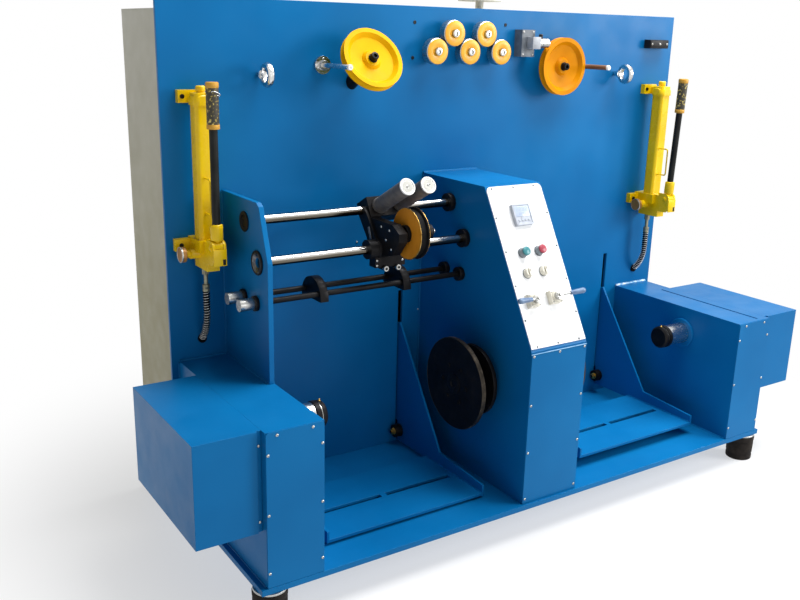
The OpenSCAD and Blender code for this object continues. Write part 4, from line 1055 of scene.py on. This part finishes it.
# %% Two-coloured levers
lever_paint = Finish("lever_paint", shine=0.14)
rim = at(0, PIVOT[0], PIVOT[1] + SOCKET_TOP + 0.5).z
above = lever_paint.span(lever_paint.height(lever_paint.where), 0.0, 1.0, rim - 0.5 * MM, rim + 0.5 * MM)
tone = lever_paint.cloud(0.05, 4.0)
cast_tone = lever_paint.ramp(tone, [(222, 180, 0), (240, 202, 6)])
tube_tone = lever_paint.ramp(tone, [(18, 19, 18), (32, 33, 31)])
lever_paint.build(
    lever_paint.mix(above, cast_tone, tube_tone), (0.3, 0.48, 0.02, 3.0), (0.0001, 0.5, 0.004, 2.0))
for side in PUMPS:
    repaint(side + "_pump_lever", lever_paint.material)
print("levers change colour at z", round(rim, 3))

# %% Lever sockets and grips
SOCKET = [(18.1, 23), (18.6, 24), (18.6, 59), (18.2, 63), (16, 66.6), (12.3, 68)]
GRIP = [(17.1, 347), (17.5, 349), (17.4, 380), (17.6, 420), (17.9, 448), (17.2, 449.6)]
LOWER_RING = [(12.2, 336.4), (17.6, 336.4), (18.3, 337.4), (18.3, 348.6), (17.6, 349.6), (12.2, 349.6)]
UPPER_RING = [(17, 448.4), (18, 449), (18.6, 450.4), (18.6, 460), (17.6, 463.4), (15.4, 464.4), (0, 464.4)]
FLECKS = [(34, 32, 28), (58, 54, 42), (150, 132, 62), (214, 196, 120)]
flecked = coat(
    "flecked_grip", FLECKS, (0.008, 2.0), (0.42, 0.6, 0.006, 2.0), (0.0001, 0.6, 0.002, 2.0),
    places=(0.0, 0.56, 0.62, 0.72))
amber = coat("amber_grip_ring", [(180, 128, 32), (206, 156, 56)], (0.02, 3.0), (0.32, 0.48, 0.01, 3.0))
for side, lever in levers.items():
    finished(turned(SOCKET, 36), side + "_lever_socket", "yellow_paint", lever, side + "_pump_lever")
for side, lever in levers.items():
    body = side + "_pump_lever"
    finished(turned(GRIP, 36), side + "_lever_grip", "black_plastic", lever, body, flecked)
    ends = joined([(ring(LOWER_RING, 36), lever), (turned(UPPER_RING, 36), lever)])
    finished(ends, side + "_lever_rings", "yellow_paint", None, body, amber)

# %% Release knobs and their necks
RELEASE = (-50, BLOCK_TOP - 44)
KNOB_REACH = 77
NECK_REACH = 45
KNOB_RIM = [(21.4, -0.3), (21.6, 0.7), (22.6, 0.9), (23.6, 0.1), (23.6, -3.4), (23.1, -4), (22.2, -4),
            (22.2, -0.3)]
NECK = [(6.8, -1), (15.4, -1), (15.4, 1), (14, 2.6), (11.5, 3.4), (11.5, 11), (9.6, 13), (9.6, 16), (6.8, 16)]
necks = []
for side, (x, lean) in PUMPS.items():
    end = facing(at(x - KNOB_REACH, *RELEASE), LEFT)
    finished(ring(KNOB_RIM, 40), side + "_release_rim", "bright_steel", end, side + "_release_knob")
    necks.append((ring(NECK, 32), facing(at(x - NECK_REACH, *RELEASE), LEFT)))
finished(joined(necks), "release_necks", "yellow_paint")

# %% Fork fronts, fixing bolts and pivot pins
PIN = [(9, -0.5), (9, 1.4), (8.2, 2), (6.3, 2), (6.3, 3.6), (5.2, 4.4), (0, 4.4)]
BOLT_SPOTS = ((-40, TANK_TOP - 12), (-60, BLOCK_TOP - 23))
LUG_FRONT = -20
PIN_REACH = 20
FORK = (-168.4, 805.5)
NOTCH_SHADE_SHEET = (-169.9, 792)
NOTCH_SHADE_SHEET_ASIDE = 12
middles = [x for x, lean in PUMPS.values()]
fronts = joined((bar(40, 2.8, 49, 0.8), put(x, *FORK)) for x in middles)
finished(fronts, "fork_fronts", "yellow_paint")
# thin black sheets that paint the shade in the notch at each fork's lower corner
notch_shade_sheets = joined((bar(9, 0.8, 17, 0.2), put(x + NOTCH_SHADE_SHEET_ASIDE, *NOTCH_SHADE_SHEET)) for x in middles)
finished(notch_shade_sheets, "fork_notch_shade_sheets", "black_plastic")
places = [at(x + across, LUG_FRONT, z) for x in middles for across, z in BOLT_SPOTS]
bolts = joined((socket_head(6.4, 4, 3), facing(place, FRONT)) for place in places)
finished(bolts, "pump_fixing_bolts", "black_steel")
pins = [(turned(PIN, 24), facing(at(x - PIN_REACH, *PIVOT), LEFT)) for x in middles]
pins += [(turned(PIN, 24), facing(at(x + PIN_REACH, *PIVOT), RIGHT)) for x in middles]
finished(joined(pins), "pump_pivot_ends", "yellow_paint")

# %% [markdown]
# The bails and the spring guards are bent wire. A bevelled curve draws it: a line of points gives the
# route, and the bevel gives the thickness. A guard is a coil, so its points are a circle carried along the
# hose's line.

# %% Wire along a line of points


def wire(points, name, slot, thick, body="machine", finish=None):
    """A round wire through points of the frame; thick is its radius in millimetres."""
    line = bpy.data.curves.new(name, "CURVE")
    line.dimensions = "3D"
    line.bevel_depth = thick * MM
    line.bevel_resolution = 2
    line.use_fill_caps = True
    spline = line.splines.new("POLY")
    spline.points.add(len(points) - 1)
    for knot, point in zip(spline.points, points):
        knot.co = (*point, 1.0)
    spline.use_smooth = True
    line.materials.append(finish or finishes[slot])
    return ridden(shown(name, line), body)


print("wire can be drawn")

# %% Wire bails
BAIL_LOW = BLOCK_TOP + 80
BAIL_HIGH = BLOCK_TOP + 182
BAIL_BEND = 8
BAIL_ROOT = -82
BAIL_FRONT = -118
BAIL_ASIDE = -6
BAIL_WIRE = 2.8
BEND_STEPS = 6
bends = [step / BEND_STEPS * pi / 2 for step in range(BEND_STEPS + 1)]
bail = [(BAIL_ROOT, BAIL_LOW)]
bail += [(BAIL_FRONT - BAIL_BEND * sin(bend), BAIL_LOW + BAIL_BEND * (1 - cos(bend))) for bend in bends]
bail += [(BAIL_FRONT - BAIL_BEND * cos(bend), BAIL_HIGH - BAIL_BEND * (1 - sin(bend))) for bend in bends]
bail.append((BAIL_ROOT, BAIL_HIGH))
for side, (x, lean) in PUMPS.items():
    wire([at(x + BAIL_ASIDE, *spot) for spot in bail], side + "_pump_bail", "yellow_paint", BAIL_WIRE)

# %% A bright wire round the left grip
LOOP_STEPS = 32
LOOP_WIRE = 1.2
loop = []
for step in range(LOOP_STEPS + 1):
    turn = step / LOOP_STEPS * 2 * pi
    wide = cos(turn)
    tall = sin(turn)
    local = Vector((4 + 12 * wide, -17 - 4 * tall - wide, 434 - 4.4 * wide + 4 * tall))
    loop.append(levers["left"] @ (local * MM))
wire(loop, "left_grip_wire", "bright_steel", LOOP_WIRE, "left_pump_lever", finishes["polished_steel"])

# %% Spring guards on the hoses
HOSE_KNEE = 617.4
HOSE_BEND = 130
HOSE_CENTRE = 80
HOSE_TURN = acos(HOSE_CENTRE / HOSE_BEND)
COIL_TOP = 678
COIL_TURNS = 21
COIL_STEPS = COIL_TURNS * 14
COIL_RADIUS = 10.2
COIL_WIRE = 1.1
COIL_SHORT = 0.06
COIL_STRAIGHT = COIL_TOP - HOSE_KNEE
COIL_LENGTH = COIL_STRAIGHT + HOSE_BEND * (HOSE_TURN - COIL_SHORT)
for side, (x, lean) in PUMPS.items():
    route = []
    for step in range(COIL_STEPS + 1):
        along = step / COIL_STEPS * COIL_LENGTH
        bend = max(0.0, along - COIL_STRAIGHT) / HOSE_BEND
        above_knee = max(0.0, COIL_STRAIGHT - along)
        spin = step / COIL_STEPS * COIL_TURNS * 2 * pi
        reach = HOSE_BEND - COIL_RADIUS * cos(spin)
        height = HOSE_KNEE + above_knee - reach * sin(bend)
        route.append(at(x + COIL_RADIUS * sin(spin), HOSE_CENTRE - reach * cos(bend), height))
    wire(route, side + "_hose_spring", "bright_steel", COIL_WIRE)

# %% Crimped hose sleeves and cuffs
HOSE_TOP = (-50, 630)
CRIMPS = [(8.2, 48), (10.6, 48), (11, 49), (11, 53), (10.4, 54), (10.4, 58), (11, 59), (11, 68.5),
          (10.2, 69.8), (8.2, 69.8)]
CUFF = [(8.2, -13), (9.4, -13), (9.8, -12), (9.8, 48.5), (8.2, 48.5)]
olive = coat(
    "olive_zinc", [(112, 110, 92), (150, 148, 126)], (0.015, 4.0), (0.3, 0.48, 0.006, 3.0), metal=0.7)
hose_rubber = moulded("hose_rubber", (9, 9, 10), (19, 19, 20), 0.5, 0.7, shine=0.04)
hoses = [put(x, *HOSE_TOP) for x in middles]
finished(joined((ring(CRIMPS, 28), hose) for hose in hoses), "hose_sleeves", "bright_steel", finish=olive)
finished(joined((ring(CUFF, 28), hose) for hose in hoses), "hose_cuffs", "black_plastic", finish=hose_rubber)
repaint("pump_hoses", hose_rubber)
repaint("hose_fittings", olive)

# %% [markdown]
# ## Spool stations
#
# A spool sits between a black driving flange on the console and a pintle on the side column. The flange's
# rim is brownish metal, a painted highlight of its lit edge, and its face carries screws. The pintle's nose
# has a bright ring and a grease nipple. The tables' guide rollers are held by brass bolts.

# %% Driving flanges
SPOOL_AXIS = (-362, 350)
FLANGE_RIM = [(150.2, 106.3), (152.3, 104.1), (152.3, 93), (151, 91.7), (150, 92.6), (151.4, 94),
              (151.4, 103.6), (149.6, 105.6)]
FLANGE_BOSS = [(34, 105.8), (34, 107.4), (32.6, 108.2), (14, 108.2), (12.6, 107), (11, 102), (0, 99)]
SCREW_CIRCLE = 62
FLANGE_FACE = 105.8
# brownish tones that paint the highlight on the flange's lit rim
RIM_HIGHLIGHT_TONES = [(34, 32, 30), (64, 58, 50), (112, 102, 88)]
rim_highlight_metal = coat(
    "painted_highlight_rim", RIM_HIGHLIGHT_TONES, (0.03, 5.0), (0.3, 0.5, 0.012, 3.0), metal=0.8, places=(0.3, 0.6, 0.8))
for side, x, way in (("left", CONSOLE_LEFT, LEFT), ("right", CONSOLE_RIGHT, RIGHT)):
    out = facing(at(x, *SPOOL_AXIS), way)
    body = side + "_drive_flange"
    finished(ring(FLANGE_RIM, 72), side + "_flange_rim", "black_steel", out, body, rim_highlight_metal)
    details = [(turned(FLANGE_BOSS, 36), out)]
    for step in range(6):
        turn = step * pi / 3
        spot = Vector((SCREW_CIRCLE * cos(turn), SCREW_CIRCLE * sin(turn), FLANGE_FACE)) * MM
        details.append((socket_head(7.5, 3, 3.4), out @ Matrix.Translation(spot)))
    finished(joined(details), side + "_flange_screws", "black_steel", None, body)

# %% Pintle rings, nipples and collars
NOSE_RING = [(36.8, 112.4), (38.6, 112.4), (39.4, 113), (39.4, 115), (38.6, 115.6), (36.8, 115.6)]
NIPPLE = [(4, -1), (4, 1.6), (2.4, 2.6), (2.4, 4.4), (3, 5.2), (2, 7), (0, 7.2)]
PINTLE_COLLAR = [(39.2, 0), (56, 0), (56, 5), (54, 7), (41, 7), (39.2, 6)]
NIPPLE_X = COLUMN_IN - 121
NIPPLE_Z = SPOOL_AXIS[1] + 40.6
brass = coat("brass", [(176, 140, 70), (212, 178, 104)], (0.01, 3.0), (0.24, 0.42, 0.006, 3.0), metal=1.0)
for side, sign, inward in (("left", -1, RIGHT), ("right", 1, LEFT)):
    column = facing(at(sign * COLUMN_IN, *SPOOL_AXIS), inward)
    nose = side + "_pintle_nose"
    finished(ring(NOSE_RING, 48), side + "_pintle_ring", "bright_steel", column, nose)
    greased = facing(at(sign * NIPPLE_X, SPOOL_AXIS[0], NIPPLE_Z), UP)
    finished(turned(NIPPLE, 14), side + "_pintle_nipple", "bronze_knob", greased, nose, brass)
    finished(ring(PINTLE_COLLAR, 48), side + "_pintle_collar", "blue_paint", column)

# %% Brass bolts of the table rollers
TABLES = {"left_table": (-784, -216, 18), "right_table": (212, 780, 45)}
WASHER = [(0, -0.2), (13, -0.2), (13, 1.6), (12, 2.2), (0, 2.2)]
BOLT_END = [(6.2, 9), (6.2, 12.6), (5.2, 13.6), (0, 13.6)]
BOLT_INSET = 31
BOLT_RISE = 34
BOLT_Y = -25
for body, (first, second, height) in TABLES.items():
    bolts = []
    for x, way in ((first + BOLT_INSET, RIGHT), (second - BOLT_INSET, LEFT)):
        place = facing(at(x, BOLT_Y, height + BOLT_RISE), way)
        shapes = (turned(WASHER, 20), hexagon_head(10.6, 9.6), turned(BOLT_END, 16))
        bolts += [(shape, place) for shape in shapes]
    finished(joined(bolts), body + "_roller_bolts", "bronze_knob", None, body, brass)

# %% [markdown]
# ## Weld beads
#
# The blue frame is welded, and the painted beads show as rippled bright lines. A bead starts as a small
# circle. Its edge is extruded again and again along the joint, and every second ring is made a little
# larger. Half of the bead lies inside the corner. One bead, on the right column, is pale: its colour is a
# painted highlight.

# %% One weld bead
SWELL = 1.22


def weld(start, end, thick, ripple=6.0):
    """A bead between two places, and its matrix; thick is its radius and ripple its step, in millimetres."""
    run = at(*end) - at(*start)
    count = max(2, round(run.length / (ripple * MM)))
    bead = bmesh.new()
    bmesh.ops.create_circle(bead, cap_ends=False, segments=8, radius=thick * MM)
    edge_loop = bead.edges[:]
    for step in range(1, count + 1):
        grown = bmesh.ops.extrude_edge_only(bead, edges=edge_loop)["geom"]
        rim = [part for part in grown if isinstance(part, bmesh.types.BMVert)]
        edge_loop = [part for part in grown if isinstance(part, bmesh.types.BMEdge) and part.is_boundary]
        swell = SWELL if step % 2 else 1 / SWELL
        centre = Vector((0, 0, (step - 1) * run.length / count))
        bmesh.ops.scale(bead, vec=(swell, swell, 1), space=Matrix.Translation(-centre), verts=rim)
        bmesh.ops.translate(bead, vec=(0, 0, run.length / count), verts=rim)
    bmesh.ops.holes_fill(bead, edges=[edge for edge in bead.edges if edge.is_boundary], sides=8)
    bmesh.ops.recalc_face_normals(bead, faces=bead.faces)
    return bead, facing(at(*start), run)


print("60 mm of weld has", len(weld((0, 0, 0), (60, 0, 0), 4.5)[0].faces), "faces")

# %% Welds of the frame
COLUMN_TOP = 452
COLUMN_FOOT = -610
BRACKET_TOP = 968
BRACKET_FRONT = -311
BEAD_CREASE = 60
beads = [weld((CONSOLE_LEFT, -1, CONSOLE_TOP), (CONSOLE_RIGHT, -1, CONSOLE_TOP), 5.0, 7.0)]
beads.append(weld((-COLUMN_IN, -1, COLUMN_TOP), (-COLUMN_OUT, -1, COLUMN_TOP), 4.5, 7.0))
for x in (CONSOLE_LEFT, CONSOLE_RIGHT):
    beads.append(weld((x, -1, 4), (x, -1, CONSOLE_TOP - 4), 3.2))
for x in (-COLUMN_IN, -COLUMN_OUT, COLUMN_IN, COLUMN_OUT):
    beads.append(weld((x, COLUMN_FOOT, 0), (x, -6, 0), 3.2))
for x in (-COLUMN_OUT, COLUMN_OUT):
    beads.append(weld((x, -1, 6), (x, -1, COLUMN_TOP - 4), 3.2))
for x in (BRACKET_OUT, -COLUMN_IN):
    beads.append(weld((x, -1, COLUMN_TOP + 4), (x, -1, BRACKET_TOP), 3.4))
    beads.append(weld((x, BRACKET_FRONT, COLUMN_TOP), (x, -6, COLUMN_TOP), 3.4))
finished(joined(beads), "frame_welds", "blue_paint", crease=BEAD_CREASE)

# %% The pale bead and the welds of the tables
TABLE_FRONT = -506
TABLE_BACK = -196
highlight_weld_finish = coat(
    "painted_highlight_weld", [(70, 140, 186), (206, 222, 232)], (0.02, 4.0), (0.3, 0.5, 0.01, 3.0),
    metal=0.2, places=(0.35, 0.6))
# this bead's pale colour paints a highlight along the right column's top
pale = joined([weld((COLUMN_IN, -2, COLUMN_TOP + 1), (COLUMN_OUT, -2, COLUMN_TOP + 1), 5.0, 7.0)])
finished(pale, "right_column_bead", "blue_paint", finish=highlight_weld_finish, crease=BEAD_CREASE)
for body, (first, second, height) in TABLES.items():
    sides = (first + 4, second - 4)
    beads = joined(weld((x, TABLE_FRONT, height), (x, TABLE_BACK, height), 3.0) for x in sides)
    finished(beads, body + "_welds", "blue_paint", None, body, crease=BEAD_CREASE)

# %% [markdown]
# ## Feet, post, plugs and the top fitting
#
# The machine stands on four rubber feet, turned anew with the grooves of a moulded mount, with a pale
# washer on top. A plain post closes the joint of the rear covers. Unused holes of the panel are closed by
# dark plugs, and the stem on the roof has a flange with four screws.

# %% Rubber feet
FOOT_BOTTOM = -118
FEET = [(x, y) for x in (-1003, 1003) for y in (-578, 298)]
FOOT = [(0, 0), (44, 0), (46.4, 1.6), (47.2, 5), (47.4, 16), (46, 19), (46, 24), (47.8, 27), (48.8, 66),
        (47.4, 69), (47.4, 74), (49.4, 77), (49.9, 90), (49, 93), (46, 94.2), (0, 94.2)]
FOOT_WASHER = [(0, 93.8), (47, 93.8), (48, 94.8), (48, 99), (47, 100), (0, 100)]
stands = [put(x, y, FOOT_BOTTOM) for x, y in FEET]
feet = finished(joined((turned(FOOT, 48), stand) for stand in stands), "moulded_feet", "rubber")
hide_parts("rubber_feet")
finished(joined((turned(FOOT_WASHER, 48), stand) for stand in stands), "foot_washers", "bright_steel")

# %% A post behind the panel
POST_WIDE = 44
POST_DEEP = 3
POST_TALL = 1470
POST_FOOT = 8
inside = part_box("rear_covers")[0][1]
middle = Matrix.Translation((0, inside - POST_DEEP / 2 * MM, DECK_TOP + (POST_TALL / 2 + POST_FOOT) * MM))
finished(bar(POST_WIDE, POST_DEEP, POST_TALL, 0.6), "cabinet_post", "grey_paint", middle)
print("the post stands in front of y", round(inside, 4))

# %% Panel plugs, panel screws and the top fitting's flange
PLUG_PLACES = ((-186, 1473), (-191, 1361), (194, 1474))
PANEL_PLUG = [(6, -0.5), (6, 0.8), (5, 1.6), (2, 1.4), (0, 1.2)]
ROOF_TOP = 1489
STEM = (130, 70)
STEM_FLANGE = [(14.2, 0), (38, 0), (39, 1), (39, 7), (37.5, 8.5), (20, 9), (17, 12), (16, 20), (14.2, 20)]
STEM_CIRCLE = 29
STEM_TURNS = (0.8, 2.37, 3.94, 5.51)
PANEL_SCREWS = ((-396, 763), (-140, 492))
plugs = joined((turned(PANEL_PLUG, 16), facing(at(x, 0, z), FRONT)) for x, z in PLUG_PLACES)
finished(plugs, "panel_plugs", "black_plastic")
finished(screws([at(x, 0, z) for x, z in PANEL_SCREWS], FRONT, 3.2), "panel_screws", "bright_steel")
finished(ring(STEM_FLANGE, 40), "stem_flange", "cream_plastic", put(*STEM, ROOF_TOP))
places = []
for turn in STEM_TURNS:
    places.append(at(STEM[0] + STEM_CIRCLE * cos(turn), STEM[1] + STEM_CIRCLE * sin(turn), ROOF_TOP + 8.4))
finished(screws(places, UP, 4.0), "stem_flange_screws", "bright_steel")
